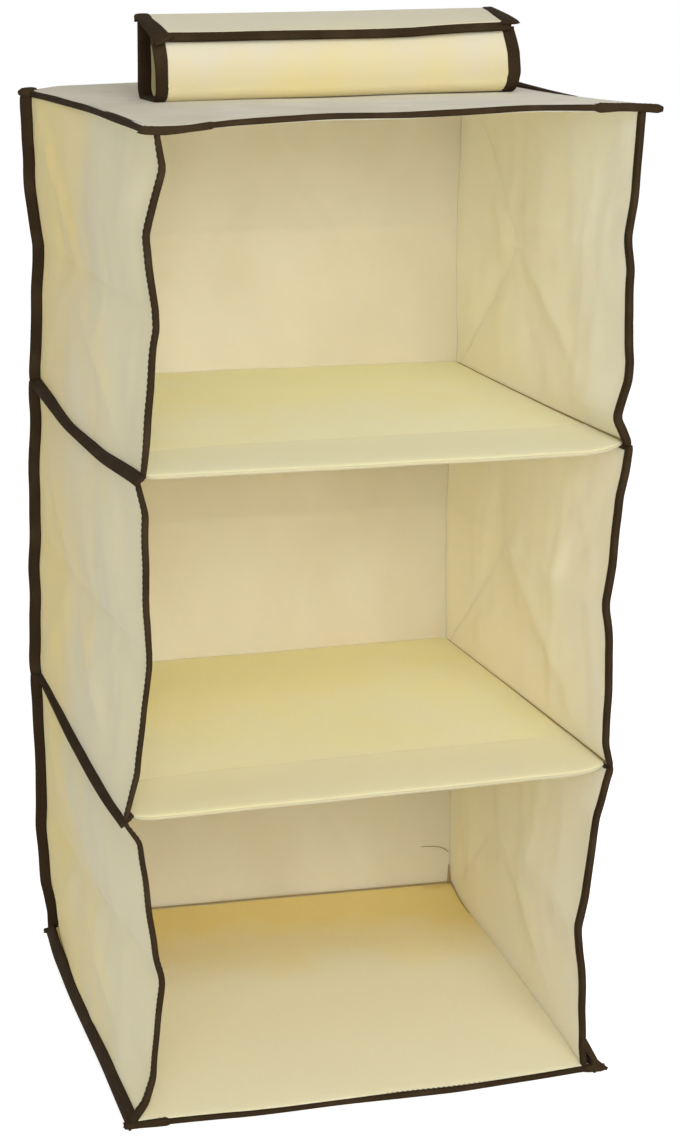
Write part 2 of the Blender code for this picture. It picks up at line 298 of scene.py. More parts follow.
# %% The non-woven grain
GRAIN = {"Dots per metre": 780.0, "Dot depth": 0.5, "Fibre scale": 900.0}


def make_grain_group():
    group, given, surface = new_group("nonwoven_grain", GRAIN, ("Height", "Shade"))
    place = parts(group, surface["UV"])
    rows = []
    for axis in ("X", "Y"):
        turns = math_node(group, "MULTIPLY", place[axis], given["Dots per metre"])
        angle = math_node(group, "MULTIPLY", turns, 2 * math.pi)
        rows.append(math_node(group, "COSINE", angle))
    sunk = remap(group, math_node(group, "MULTIPLY", *rows), 0.35, 0.9, 0.0, 1.0)
    fibres = noise_value(group, surface["UV"], given["Fibre scale"], 5, roughness=0.65, distortion=1.2)
    dents = math_node(group, "MULTIPLY", sunk, given["Dot depth"])
    height = math_node(group, "SUBTRACT", fibres, dents)
    shade = remap(group, height, -0.2, 0.8, 0.90, 1.03)
    node(group, "NodeGroupOutput", {"Height": height, "Shade": shade})
    return group


grain_group = make_grain_group()
print("grain group", len(grain_group.nodes), "nodes")

# %% [markdown]
# ## Patches of tone
#
# Light comes through thin cloth unevenly, and a sheet that was folded in its box keeps faint soft bands. A
# second group gives broad patches in Object coordinates for these, one slow and one quicker. It also adds a
# drift along each axis, and that drift is painted light and shade: it makes a cloth warmer towards the back,
# where light that has gone round inside the box is warmer, and lighter or darker from one side to the other
# where the lamps reach it unevenly. Its output is only a mask: each material mixes its own two colours by it.

# %% Patches of tone
def make_patch_group():
    defaults = {"Size": 9.0, "Fine size": 38.0, "Strength": 1.0, "Balance": 0.5}
    drifts = {"Drift X": 0.0, "Drift Y": 0.0, "Drift Z": 0.0}
    group, given, surface = new_group("tone_patches", {**defaults, **drifts}, ("Mask",))
    stretch = {"Vector": surface["Object"], "Scale": (1.0, 1.0, 0.55)}
    tall = node(group, "ShaderNodeMapping", stretch)[0]
    broad = remap(group, noise_value(group, tall, given["Size"], 2), 0.32, 0.68, -0.35, 0.35)
    fine = remap(group, noise_value(group, tall, given["Fine size"], 2), 0.3, 0.7, -0.18, 0.18)
    total = math_node(group, "MULTIPLY", math_node(group, "ADD", broad, fine), given["Strength"])
    place = parts(group, surface["Object"])
    # The drift along each axis is painted light and shade.
    for axis in ("X", "Y", "Z"):
        drift = math_node(group, "MULTIPLY", place[axis], given[f"Drift {axis}"])
        total = math_node(group, "ADD", total, drift)
    shifted = math_node(group, "ADD", total, given["Balance"])
    held = math_node(group, "MINIMUM", math_node(group, "MAXIMUM", shifted, 0.0), 1.0)
    node(group, "NodeGroupOutput", {"Mask": held})
    return group


patch_group = make_patch_group()
print("patch group", len(patch_group.nodes), "nodes")

# %% [markdown]
# ## The ribs of the tape
#
# The dark edges are a narrow grosgrain-like tape, folded over the raw edges and sewn
# through. Its ribs run across it, under a millimetre apart. The UV map of every tape
# runs along it in metres, so a wave along U gives the ribs, and a noise breaks them up.

# %% The ribs of the tape
RIBS = {"Ribs per metre": 1250.0, "Fuzz scale": 1600.0}


def make_rib_group():
    group, given, surface = new_group("tape_ribs", RIBS, ("Height", "Worn"))
    along = parts(group, surface["UV"])["X"]
    turns = math_node(group, "MULTIPLY", along, given["Ribs per metre"])
    wave = math_node(group, "SINE", math_node(group, "MULTIPLY", turns, 2 * math.pi))
    fuzz = noise_value(group, surface["UV"], given["Fuzz scale"], 4)
    height = math_node(group, "ADD", remap(group, wave, -1.0, 1.0, 0.0, 0.6), fuzz)
    rubbed = noise_value(group, surface["Object"], 45.0, 3)
    worn = remap(group, rubbed, 0.45, 0.75, 0.0, 1.0)
    node(group, "NodeGroupOutput", {"Height": height, "Worn": worn})
    return group


rib_group = make_rib_group()
print("rib group", len(rib_group.nodes), "nodes")

# %% [markdown]
# ## The materials
#
# All the cream pieces are one cloth, but not one tone. The walls hang thin and look greyer, the shelves lie
# on boards and look warmer, and the strap is two layers. Each piece also has its own copy of the cloth, made
# lighter, darker or yellower for the light that falls on it there: painted light and shade. So one function
# makes the cloth, and each use gives it two colours to mix. The shader stays in the material, and a little
# sheen stands for the loose fibres.

# %% The cloth material
def mixed(tree, blend, factor, first, second):
    """A Mix node for colours, whose inputs 0, 6 and 7 are the factor and the two colours."""
    inputs = {0: factor, 6: first, 7: second}
    return node(tree, "ShaderNodeMix", inputs, data_type="RGBA", blend_type=blend)[2]


def principled(name, roughness, specular, sheen=0.0):
    """A new material, as its node tree and its shader's inputs."""
    material = bpy.data.materials.new(name)
    material.use_nodes = True
    tree = material.node_tree
    inputs = tree.nodes["Principled BSDF"].inputs
    feed(tree, inputs, {"Roughness": roughness, "Specular IOR Level": specular})
    feed(tree, inputs, {"Sheen Weight": sheen, "Sheen Roughness": 0.5})
    return material, tree, inputs


def bumped(tree, height, strength, distance):
    """A normal for a material, from a height."""
    return node(tree, "ShaderNodeBump", {"Strength": strength, "Distance": distance, "Height": height})[0]


def nonwoven(name, cool, warm, balance=0.5, drift=(0.0, 0.0, 0.0), strength=1.0):
    """Cream non-woven cloth in patches of two tones. drift turns it towards the second tone along X, Y and Z,
    per metre, as painted light and shade.
    """
    material, tree, inputs = principled(name, 0.88, 0.22, sheen=0.12)
    grain = node(tree, "ShaderNodeGroup", GRAIN, node_tree=grain_group)
    drifts = {f"Drift {axis}": value for axis, value in zip("XYZ", drift)}
    spread_by = {"Strength": strength, "Balance": balance, **drifts}
    patches = node(tree, "ShaderNodeGroup", spread_by, node_tree=patch_group)
    tone = mixed(tree, "MIX", patches["Mask"], cool, warm)
    feed(tree, inputs, {
        "Subsurface Weight": 1.0,
        "Subsurface Radius": (1.0, 0.9, 0.75),
        "Subsurface Scale": 0.0016,
        "Base Color": mixed(tree, "MULTIPLY", 1.0, tone, grain["Shade"]),
        "Roughness": remap(tree, grain["Height"], 0.0, 0.8, 0.95, 0.80),
        "Normal": bumped(tree, grain["Height"], 0.35, 0.0002),
    })
    return material


# Warmer towards the rear: painted bounce light. The right walls and the panels' undersides wear it.
wall_cloth = nonwoven("wall_cloth", (0.800, 0.775, 0.625), (0.830, 0.785, 0.575), drift=(0, 3, 0))
# A darker, yellower copy of the wall cloth for the left walls, whose outsides are seen: painted shade. It
# turns yellower towards the rear.
left_cloth = nonwoven("left_cloth", (0.710, 0.662, 0.440), (0.815, 0.660, 0.270), drift=(0, 6, 0))
# Lighter at the left and darker towards the right, with weaker patches: painted light on the left part of
# each back wall, which the left wall shades.
back_cloth = nonwoven(
    "back_cloth", (0.790, 0.750, 0.620), (0.642, 0.600, 0.455), drift=(3.6, 0, 0), strength=0.4
)
# Near white and yellower than the strip: partly the cloth's own warmer tone on its board, partly painted
# light for the shelf tops deep in the compartments. Warmer towards the rear: painted bounce light.
shelf_cloth = nonwoven("shelf_cloth", (0.985, 0.835, 0.495), (0.995, 0.800, 0.360), drift=(0, 4, 0))
# Darker and yellower towards the rear, and a little towards the right: painted shade and bounce light at the
# back of the bottom compartment.
floor_cloth = nonwoven(
    "floor_cloth", (0.880, 0.775, 0.510), (0.905, 0.650, 0.235),
    balance=0.05, drift=(0.9, 11, 0), strength=0.5,
)
strip_cloth = nonwoven("strip_cloth", (0.785, 0.720, 0.450), (0.805, 0.725, 0.420))
# A darker copy of the cloth for the shelves' rounded front edges, so they don't catch the key light as a
# bright line: painted shade.
hem_cloth = nonwoven("hem_cloth", (0.520, 0.475, 0.315), (0.540, 0.480, 0.295))
# A darker copy of the cloth for the top panel, darker still towards the left: painted shade on its upper
# face.
lid_cloth = nonwoven("lid_cloth", (0.515, 0.468, 0.325), (0.650, 0.602, 0.455), drift=(3.2, 0, 0))
# Yellower towards the foot of the strap: painted bounce light and shade from the top panel below it.
strap_cloth = nonwoven(
    "strap_cloth", (0.690, 0.640, 0.495), (0.730, 0.635, 0.330), balance=0.4, drift=(0, 0, -22)
)
print("cloths", [m.name for m in bpy.data.materials if "cloth" in m.name])

# %% The tape, thread, board and closure materials
def tape_material(name, dark, worn_tone):
    material, tree, inputs = principled(name, 0.85, 0.06)
    ribs = node(tree, "ShaderNodeGroup", RIBS, node_tree=rib_group)
    colour = mixed(tree, "MIX", ribs["Worn"], dark, worn_tone)
    # Darker in the grooves between the ribs: painted shade, with a fine random fuzz in the tone.
    grooves = remap(tree, ribs["Height"], 0.2, 1.2, 0.72, 1.12)
    feed(tree, inputs, {
        "Base Color": mixed(tree, "MULTIPLY", 1.0, colour, grooves),
        "Normal": bumped(tree, ribs["Height"], 0.5, 0.00025),
    })
    return material


def fuzzy(name, first, second, scale, roughness, depth):
    """A plain material with a noise in its colour and its bump, for thread, board and closure tape."""
    material, tree, inputs = principled(name, roughness, 0.1, sheen=0.03)
    where = node(tree, "ShaderNodeTexCoord", {})["Object"]
    noise = noise_value(tree, where, scale, 4, roughness=0.6)
    colour = mixed(tree, "MIX", noise, first, second)
    feed(tree, inputs, {"Base Color": colour, "Normal": bumped(tree, noise, 0.6, depth)})
    return material


brown_tape = tape_material("brown_tape", (0.032, 0.0198, 0.0091), (0.048, 0.0308, 0.0155))
brown_thread = fuzzy("brown_thread", (0.026, 0.016, 0.008), (0.050, 0.032, 0.018), 2500.0, 0.8, 0.0001)
seam_thread = fuzzy("seam_thread", (0.290, 0.205, 0.070), (0.380, 0.280, 0.110), 2500.0, 0.8, 0.0001)
# Cream thread, coloured brown as it looks in the shade of the bottom compartment: painted shade.
loose_thread = fuzzy("loose_thread", (0.26, 0.20, 0.10), (0.40, 0.32, 0.17), 2500.0, 0.7, 0.0001)
grey_board = fuzzy("grey_board", (0.36, 0.32, 0.26), (0.46, 0.42, 0.35), 400.0, 0.9, 0.0002)
closure = fuzzy("closure", (0.66, 0.60, 0.44), (0.78, 0.72, 0.55), 3000.0, 0.95, 0.0006)
print("materials", len(bpy.data.materials))

# %% [markdown]
# ## How the shelf hangs
#
# No sewn box hangs true. The top panel is tilted by the rail, the shelves sit a few
# millimetres high or low, and the whole box is twisted a little, its foot to the left.
# All of that is one smooth field. Every piece is first made on the ideal shelf, and then
# its points go through this field, so neighbours stay together whatever the numbers.

# %% How the shelf hangs
MM = 0.001
REAR_LIFT = {  # mm, at each panel's rear left and rear right corner
    "top": (-4.5, 2.5),
    "upper_shelf": (3.5, 3.0),
    "lower_shelf": (-4.0, -2.5),
    "bottom": (0.0, -2.0),
}
FRONT_LIFT = {  # (share from left to right, mm) along each panel's front edge
    "top": (
        (0, -2.8), (0.05, -2.6), (0.15, 0.9), (0.35, 4.5), (0.5, 4.8), (0.62, 6.1), (0.75, 8.2), (0.92, 7.8),
        (0.965, 8.6), (1, 7.3),
    ),
    "upper_shelf": ((0, 2.7), (0.5, 2.2), (0.94, 2.4), (1, 7.0)),
    "lower_shelf": ((0, -4.5), (0.5, -4.0), (0.94, -3.0), (1, 0.0)),
    "bottom": (
        (0, -3.8), (0.09, -4.8), (0.24, -7.3), (0.4, -7.6), (0.7, -9.9), (0.89, -8.9), (1, -7.6),
    ),
}
TWIST = np.radians((0.9, 0.0, -0.5, -1.7))
FRONT_LEFT_PULL = np.array((2.5, 0.0, -2.0, 0.0)) * MM  # towards the middle
HEIGHTS = np.array(PANEL_Z[::-1])


def by_height(values, z):
    """A value given for each panel, taken at any height between them."""
    return np.interp(z, HEIGHTS, np.asarray(values)[::-1])


def smooth_line(stops, at, rounding=0.012):
    """A line through (share, value) stops, its kinks rounded by averaging over a short stretch."""
    shares, values = np.array(stops, float).T
    total = np.zeros_like(np.asarray(at, float))
    offsets = np.linspace(-1, 1, 7) * rounding
    for offset in offsets:
        total = total + np.interp(np.clip(at + offset, 0, 1), shares, values)
    return total / len(offsets)


def panel_lift(name, across, ahead):
    """Height that a panel gains at a share of its width and a share of the way to its front."""
    rear_left, rear_right = REAR_LIFT[name]
    rear = rear_left + (rear_right - rear_left) * across
    front = smooth_line(FRONT_LIFT[name], across, rounding=0.03)
    return (rear + (front - rear) * ahead ** 2.5) * MM


def hang(points):
    """Where points of the ideal shelf are on the shelf as it hangs."""
    points = np.array(points, float).reshape(-1, 3)
    x, y, z = points.T
    across = np.clip((x + WALL_X) / (2 * WALL_X), 0, 1)
    ahead = np.clip((CORNER_Y - y) / (CORNER_Y - WALL_FRONT), 0, 1)
    lifts = [panel_lift(name, across, ahead) for name in PANELS]
    place = np.clip(np.interp(z, HEIGHTS, np.arange(len(PANELS))[::-1]), 0, len(PANELS) - 1)
    lift = sum(np.clip(1 - np.abs(place - n), 0, 1) * lifts[n] for n in range(len(PANELS)))
    shear = by_height(TWIST, z) * (MIDDLE_Y - y)
    pull = by_height(FRONT_LEFT_PULL, z) * (1 - across) ** 3 * ahead ** 2
    return np.stack([x + shear + pull, y, z + lift], axis=1)


def hang_point(x, y, z):
    return Vector(hang([(x, y, z)])[0])


for sign in (-1, 1):
    corner = hang_point(sign * WALL_X, WALL_FRONT, PANEL_Z[0])
    print("top front corner hangs at", [round(v, 4) for v in corner])

# %% [markdown]
# ## Edges and seams
#
# A wall is held by four lines: the seam above, the seam below, its bound front edge and
# the rear corner. The front edges are free, so they wander most. They kink where the
# wall was folded, and bow between the kinks. Each edge is a short list of (share of the
# height, millimetres towards the middle), read from a picture of a real shelf, and a
# smoothed line through it gives the edge anywhere.

# %% Edges and seams
FRONT_EDGES = {
    ("top", "left"): (
        (0, 7.2), (0.1, 10.9), (0.2, 7.0), (0.29, 2.8), (0.38, 4.6),
        (0.56, 9.9), (0.61, 8.8), (0.94, 5.2), (1, 3.8),
    ),
    ("middle", "left"): (
        (0, 0.6), (0.1, 5.8), (0.25, 7.1), (0.39, 7.0), (0.54, 9.4), (0.67, 6.1), (0.86, 3.3), (1, -4.6),
    ),
    ("bottom", "left"): (
        (0, -4.8), (0.07, 4.6), (0.18, 8.2), (0.32, 11.4), (0.45, 15.2),
        (0.53, 18.8), (0.68, 16.6), (0.85, 14.4), (0.93, 9.5), (1, -1),
    ),
    ("top", "right"): (
        (0, 2.9), (0.15, 4.2), (0.37, 6.3), (0.47, 3.5), (0.62, 3.2),
        (0.74, 0.2), (0.8, 1.0), (0.91, 7.0), (1, -2),
    ),
    ("middle", "right"): (
        (0, -2.6), (0.07, -0.6), (0.15, 3.3), (0.25, 4.6), (0.35, 4.8),
        (0.47, 7), (0.53, 5), (0.67, 2.4), (0.92, 2.8), (1, -2),
    ),
    ("bottom", "right"): (
        (0, -2.1), (0.15, 6.4), (0.3, 8.7), (0.41, 10), (0.51, 13), (0.65, 9.4), (0.92, 5.8), (1, 3),
    ),
}
REAR_EDGES = {
    ("top", "left"): ((0, 0), (0.26, 0.9), (0.41, 3.2), (0.51, 6.1), (0.6, 5.0), (0.75, 3.5), (1, 1.5)),
    ("middle", "left"): ((0, 1.0), (0.1, 1.6), (0.21, 0), (0.5, -1.0), (0.8, -2.3), (1, -2.1)),
    ("bottom", "left"): ((0, -2.2), (0.27, -0.6), (0.57, -1.5), (0.8, 0.5), (0.92, 5.4), (1, 5.2)),
    ("top", "right"): ((0, 1.5), (0.5, 3.5), (1, 2.0)),
    ("middle", "right"): ((0, 4.0), (0.5, 6.5), (1, 4.5)),
    ("bottom", "right"): ((0, 1.0), (0.4, 0), (1, 0)),
}
SEAM_OUT = {  # (share from front to rear, mm) that each panel's side seam stands out, from the top panel down
    "left": (
        ((0, 0), (0.5, -3), (1, 0)),
        ((0, 0), (0.3, 2.5), (0.6, 3.5), (1, 0)),
        ((0, 0), (0.3, 2.5), (0.6, 2.5), (1, 0)),
        ((0, 0.8), (0.3, 1.0), (0.65, 3.2), (0.9, 2.4), (1, 0)),
    ),
    "right": (
        ((0, 0), (0.5, 0.5), (1, 0)),
        ((0, 0), (0.5, 1.5), (1, 0)),
        ((0, 0), (0.5, 1.5), (1, 0)),
        ((0, 0), (0.5, 1.0), (1, 2.0)),
    ),
}
SEAM_DOWN = {  # the same for how far it sags
    "left": (
        ((0, -0.6), (0.1, -1.4), (0.5, -1.7), (0.8, -0.7), (1, 1.2)),
        ((0, 0), (0.25, 4.2), (0.6, 4), (1, 0)),
        ((0, 0), (0.15, 3), (0.5, 2.5), (1, 0)),
        ((0, 0), (0.5, 0.5), (1, 0)),
    ),
    "right": (
        ((0, 0), (0.5, 0.5), (1, 0)),
        ((0, 0), (0.5, 1.0), (1, 0)),
        ((0, 0), (0.5, 1.0), (1, 0)),
        ((0, 0), (0.5, 0.5), (1, 0)),
    ),
}


def seam_offset(panel_index, side, rearward):
    """Outward and downward bow of a panel's side seam, at a share of the way from front to rear."""
    out = smooth_line(SEAM_OUT[side][panel_index], rearward, rounding=0.06)
    down = smooth_line(SEAM_DOWN[side][panel_index], rearward, rounding=0.06)
    return out * MM, down * MM


def bow(share):
    """A soft arch from 0 at both ends to 1 in the middle."""
    return 4 * np.clip(share, 0, 1) * (1 - np.clip(share, 0, 1))


for key in (("top", "left"), ("bottom", "right")):
    print(key, "front edge, mm:", np.round(smooth_line(FRONT_EDGES[key], np.linspace(0, 1, 5)), 1))

# %% [markdown]
# ## Fine unevenness
#
# Stiff cloth has two kinds of fine relief: slow dents from handling, and thin straight
# creases from the pack. Sums of a few waves with fixed random directions give the first,
# and the sharp valleys of folded waves give the second. Both take points in metres, so
# they run on from one piece to the next.

# %% Fine unevenness
def wave_set(seed, count, shortest, longest):
    source = np.random.default_rng(seed)
    direction = source.normal(size=(count, 3))
    direction /= np.linalg.norm(direction, axis=1)[:, None]
    length = source.uniform(shortest, longest, count)
    return direction * (2 * math.pi / length)[:, None], source.uniform(0, 2 * math.pi, count)


DENTS = wave_set(11, 9, 0.05, 0.16)
RUMPLES = wave_set(23, 10, 0.018, 0.045)
FOLD_MARKS = wave_set(5, 6, 0.11, 0.24)


def waves(points, kind):
    numbers, phases = kind
    return np.sin(points @ numbers.T + phases).mean(axis=1)


def fold_marks(points):
    """Thin straight ridges in a few directions: 1 on a mark, and nearly 0 elsewhere."""
    numbers, phases = FOLD_MARKS
    return ((1 - np.abs(np.sin(points @ numbers.T / 2 + phases))) ** 12).mean(axis=1)


test_dents = waves(np.random.default_rng(0).uniform(-0.15, 0.15, (500, 3)), DENTS)
print("dents from", round(test_dents.min(), 2), "to", round(test_dents.max(), 2))

# %% [markdown]
# ## Sheets from a rule
#
# Every cloth piece is a grid whose corners are placed by a function of two shares, across
# and down. The UV map keeps the place on the flat cloth in metres. The grid is then
# hung, thickened with Solidify, and turned into a plain mesh, so that nothing is left
# to evaluate when the shelf folds. The rims of the cut edges are set sharp: smoothed over,
# they would draw a line where two sheets meet.

# %% Sheets from a rule
def to_plain_mesh(obj):
    """Applies an object's modifiers, and leaves a plain mesh on it."""
    graph = bpy.context.evaluated_depsgraph_get()
    done = bpy.data.meshes.new_from_object(obj.evaluated_get(graph))
    for modifier in list(obj.modifiers):
        obj.modifiers.remove(modifier)
    obj.data = done
    obj.data.name = obj.name
    done.set_sharp_from_angle(angle=math.radians(50))
    return obj


def thicken(obj, thickness, offset=0):
    """Gives a sheet its thickness, and leaves a plain mesh on it."""
    wall = obj.modifiers.new("thickness", "SOLIDIFY")
    wall.thickness = thickness
    wall.offset = offset
    return to_plain_mesh(obj)


def face_outwards(mesh):
    """Turns a closed mesh the right way out."""
    shape = bmesh.new()
    shape.from_mesh(mesh)
    bmesh.ops.recalc_face_normals(shape, faces=shape.faces)
    shape.to_mesh(mesh)
    shape.free()


def grid_object(name, rows_of_points, flat, material, closed=False):
    """A mesh of quads on a (rows, columns, 3) array. flat is the cut size for the UV map."""
    rows, columns, _ = rows_of_points.shape
    corners = rows_of_points.reshape(-1, 3)
    faces, places = [], []
    for row in range(rows if closed else rows - 1):
        for column in range(columns - 1):
            square = [(row, column), (row, column + 1), (row + 1, column + 1), (row + 1, column)]
            faces.append([(r % rows) * columns + c for r, c in square])
            places += [(c / (columns - 1) * flat[0], r / (rows - 1) * flat[1]) for r, c in square]
    mesh = bpy.data.meshes.new(name)
    mesh.from_pydata(corners.tolist(), [], faces)
    layer = mesh.uv_layers.new(name="cloth")
    layer.data.foreach_set("uv", np.array(places, float).ravel())
    mesh.shade_smooth()
    mesh.materials.append(material)
    return add_object(name, mesh)


def cloth_sheet(name, columns, rows, place, flat, material, thickness=CLOTH):
    """A sheet of cloth. place takes arrays of the two shares and returns ideal points."""
    across, down = np.meshgrid(np.linspace(0, 1, columns), np.linspace(0, 1, rows))
    points = hang(place(across.ravel(), down.ravel())).reshape(rows, columns, 3)
    return thicken(grid_object(name, points, flat, material), thickness)


# %% [markdown]
# ## The side walls
#
# The ideal wall is a plane. A Coons patch moves it: each point takes a share of what the
# four lines round the wall do, less what their corners count twice. The fold lines come
# on top. Each compartment folds inwards at half height, and near the rear a loose corner
# of cloth is marked off by two lines at 45 degrees, where the wall folds against the
# back. The halves between the lines belly out a little, as cloth that was folded does.

# %% The shape of a side wall
HALF_DROP = [(HINGE_Z[n] - LOWER_HINGE_Z[n]) / 2 for n in range(len(LEVELS))]
WALL_DEPTH = CORNER_Y - WALL_FRONT
WALL_TOP, WALL_FOOT = PANEL_HALF * 0.8, 0.0009  # its ends, below the two panels' middles
WALL_ROWS = 65
MITRE_SETBACK = 0.0086
BELLY = 2.6 * MM
CREASE_DEPTH = 2.2 * MM
CREASE_REACH = 0.05  # share of the wall's height over which a crease dies away
CREASE_SHARE = {("top", "right"): 0.40, ("bottom", "right"): 0.54}  # the others lie at half height
CORNER_RIDGE = 1.1 * MM
CORNER_RIDGE_REACH = 0.012
FRONT_RIDGE = {"left": -3.0 * MM, "right": 4.2 * MM}  # inwards
RIDGE_REACH = {"left": (0.011, 0.011), "right": (0.060, 0.012)}  # in front of its line and behind it
FRONT_DIAGONAL = -1.45  # slope of the crease from the wall's middle down to its front corner
DIAGONAL_Y = 0.014  # where that crease starts at half height
DIAGONAL_AT, DIAGONAL_SPAN = 0.72, 0.28  # shares of the height: its middle, and half its length
DIAGONAL_SPREAD = 1.2
NOISE_X = 0.37  # the side walls take their dents from planes this far out
DENT_DEPTH = 3.75 * MM
RUMPLE_DEPTH = 0.96 * MM
MARK_DEPTH = 4.5 * MM
FRONT_TURN = {"left": math.radians(7), "right": math.radians(11)}
LIPS_Y = WALL_FRONT + TAPE_WIDTH - 0.0004
EDGE_REACH = 2.2  # how fast a front edge's wandering dies away into the wall
SEAM_REACH = 1.5  # the same for a seam's bow


def relief(x, y, z, down, inside, rumple_depth, mark_depth):
    """Dents, fold marks and rumples, which die away at the seams. All but the rumples do so at the sides."""
    seed = np.stack([x, y, z], axis=1)
    held = np.clip(3 * bow(down), 0, 1)
    broad = DENT_DEPTH * waves(seed, DENTS) + mark_depth * fold_marks(seed)
    return inside * held * broad + rumple_depth * waves(seed, RUMPLES) * held


def wall_span(level_index):
    """Heights of a wall's upper end, just below a panel, and of its lower end, at the middle of the next."""
    return PANEL_Z[level_index] - WALL_TOP, PANEL_Z[level_index + 1] - WALL_FOOT


def mitre_y(level_index, z):
    """Where the wall proper ends at the rear, at a height: a 45 degree line from each rear corner."""
    drop = np.clip(HINGE_Z[level_index] - z, 0, 2 * HALF_DROP[level_index])
    return CORNER_Y - MITRE_SETBACK - np.minimum(drop, 2 * HALF_DROP[level_index] - drop)


def wall_inward(level_index, side, y, z):
    """How far a side wall stands in from its ideal plane."""
    level = LEVELS[level_index]
    high, low = wall_span(level_index)
    down = np.clip((high - z) / (high - low), 0, 1)
    rearward = np.clip((y - WALL_FRONT) / WALL_DEPTH, 0, 1)
    front = smooth_line(FRONT_EDGES[level, side], down) * MM
    rear = smooth_line(REAR_EDGES[level, side], down) * MM
    above = -seam_offset(level_index, side, rearward)[0]
    below = -seam_offset(level_index + 1, side, rearward)[0]
    moved = front * (1 - rearward) ** EDGE_REACH + rear * rearward ** EDGE_REACH
    moved = moved + above * (1 - down) ** SEAM_REACH + below * down ** SEAM_REACH
    inside = bow(rearward) ** 0.6
    moved = moved - BELLY * inside * np.abs(np.sin(2 * math.pi * down))
    crease = CREASE_SHARE.get((level, side), 0.5)
    moved = moved + CREASE_DEPTH * inside * np.exp(-np.abs(down - crease) / CREASE_REACH)
    to_mitre = (y - mitre_y(level_index, z)) / math.sqrt(2)
    held = np.clip(4 * bow(down), 0, 1)
    moved = moved - CORNER_RIDGE * held * np.exp(-(to_mitre / CORNER_RIDGE_REACH) ** 2)
    above_middle = z - HINGE_Z[level_index] + HALF_DROP[level_index]
    to_diagonal = (y - DIAGONAL_Y + above_middle * FRONT_DIAGONAL) / DIAGONAL_SPREAD
    share = np.clip(1 - np.abs(down - DIAGONAL_AT) / DIAGONAL_SPAN, 0, 1)
    ridge_reach = np.where(to_diagonal < 0, *RIDGE_REACH[side])
    moved = moved + FRONT_RIDGE[side] * share * inside * np.exp(-np.abs(to_diagonal) / ridge_reach)
    noise_x = np.full_like(y, NOISE_X * SIDES[side])
    return moved + relief(noise_x, y, z, down, inside, RUMPLE_DEPTH, MARK_DEPTH)


def wall_points(level_index, side, y, z):
    """Points of a side wall on the ideal shelf, with the seams' sag. Its front end turns with the tape."""
    high, low = wall_span(level_index)
    down = (high - z) / (high - low)
    rearward = (y - WALL_FRONT) / WALL_DEPTH
    sag_above = seam_offset(level_index, side, rearward)[1]
    sag_below = seam_offset(level_index + 1, side, rearward)[1]
    held = 0.8 * np.clip(LIPS_Y - y, 0, None)
    y = np.maximum(y, LIPS_Y)
    x = SIDES[side] * (WALL_X - wall_inward(level_index, side, y, z) + held * math.sin(FRONT_TURN[side]))
    y = y - held * math.cos(FRONT_TURN[side])
    return np.stack([x, y, z - sag_above * (1 - down) - sag_below * down], axis=1)


# %% Cut the side walls
SIDE_CLOTH = {"left": left_cloth, "right": wall_cloth}
BLEND_REACH = 0.008


def fold_across(obj, level_index, x, y):
    """Bakes a piece's place into its mesh. It works out the crease's two ends, but doesn't use them."""
    z = CREASE_Z[level_index]
    start, end = hang_point(x, y, z + BLEND_REACH), hang_point(x, y, z - BLEND_REACH)
    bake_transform(obj)


def crumple(obj, level_index):
    """Parents a loose piece of the rear corner to the panel above, and gives it its own mesh."""
    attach(obj, PANEL_BODIES[level_index])
    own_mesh(obj)


def side_wall(level_index, side):
    level = LEVELS[level_index]
    high, low = wall_span(level_index)
    height = high - low

    def place(across, down):
        z = high - down * height
        rear = mitre_y(level_index, z)
        return wall_points(level_index, side, WALL_FRONT + across * (rear - WALL_FRONT), z)

    name = f"{level}_{side}"
    obj = cloth_sheet(f"{name}_wall", 49, WALL_ROWS, place, (WALL_DEPTH, height), SIDE_CLOTH[side])
    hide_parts(f"{name}_upper", f"{name}_lower")
    fold_across(obj, level_index, SIDES[side] * WALL_X, 0)
    return obj


side_walls = [side_wall(n, side) for n in range(len(LEVELS)) for side in SIDES]
print("side walls", [(o.name, len(o.data.polygons)) for o in side_walls[:2]])

# %% [markdown]
# ## The loose rear corners
#
# Behind the 45 degree lines lies a triangle of cloth that has nowhere to go when the box closes: on the real
# shelf it crumples. It shares the wall's own rule, so at rest no line shows where they meet, and it is
# parented to the panel above.

# %% The loose rear corners
def rear_corner(level_index, side):
    level = LEVELS[level_index]
    high, low = wall_span(level_index)
    height = high - low

    def place(across, down):
        z = high - down * height
        front = mitre_y(level_index, z)
        return wall_points(level_index, side, front + across * (CORNER_Y - front), z)

    name = f"{level}_{side}"
    reach = HALF_DROP[level_index] + MITRE_SETBACK
    obj = cloth_sheet(f"{name}_corner", 25, WALL_ROWS, place, (reach, height), SIDE_CLOTH[side])
    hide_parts(f"{name}_gusset")
    crumple(obj, level_index)
    return obj


rear_corners = [rear_corner(n, side) for n in range(len(LEVELS)) for side in SIDES]
print("rear corners", len(rear_corners))

# %% [markdown]
# ## The back walls
#
# The back of each compartment is one sheet with a crease at half height. Its sides follow
# the rear corners, which wander, so its width changes with height. It bellies backwards a
# little between the seams, and the crease stands forward.

# %% The back walls
BACK_BELLY = 2.4 * MM
BACK_CREASE = 2.8 * MM
BACK_RUMPLE_DEPTH = 1.44 * MM
BACK_MARK_DEPTH = 7.5 * MM
NOISE_Y = 0.6


def corner_inward(level_index, side, down):
    """How far the rear corner stands in, as the side wall has it there."""
    high, low = wall_span(level_index)
    z = high - down * (high - low)
    return wall_inward(level_index, side, np.full_like(z, CORNER_Y), z)


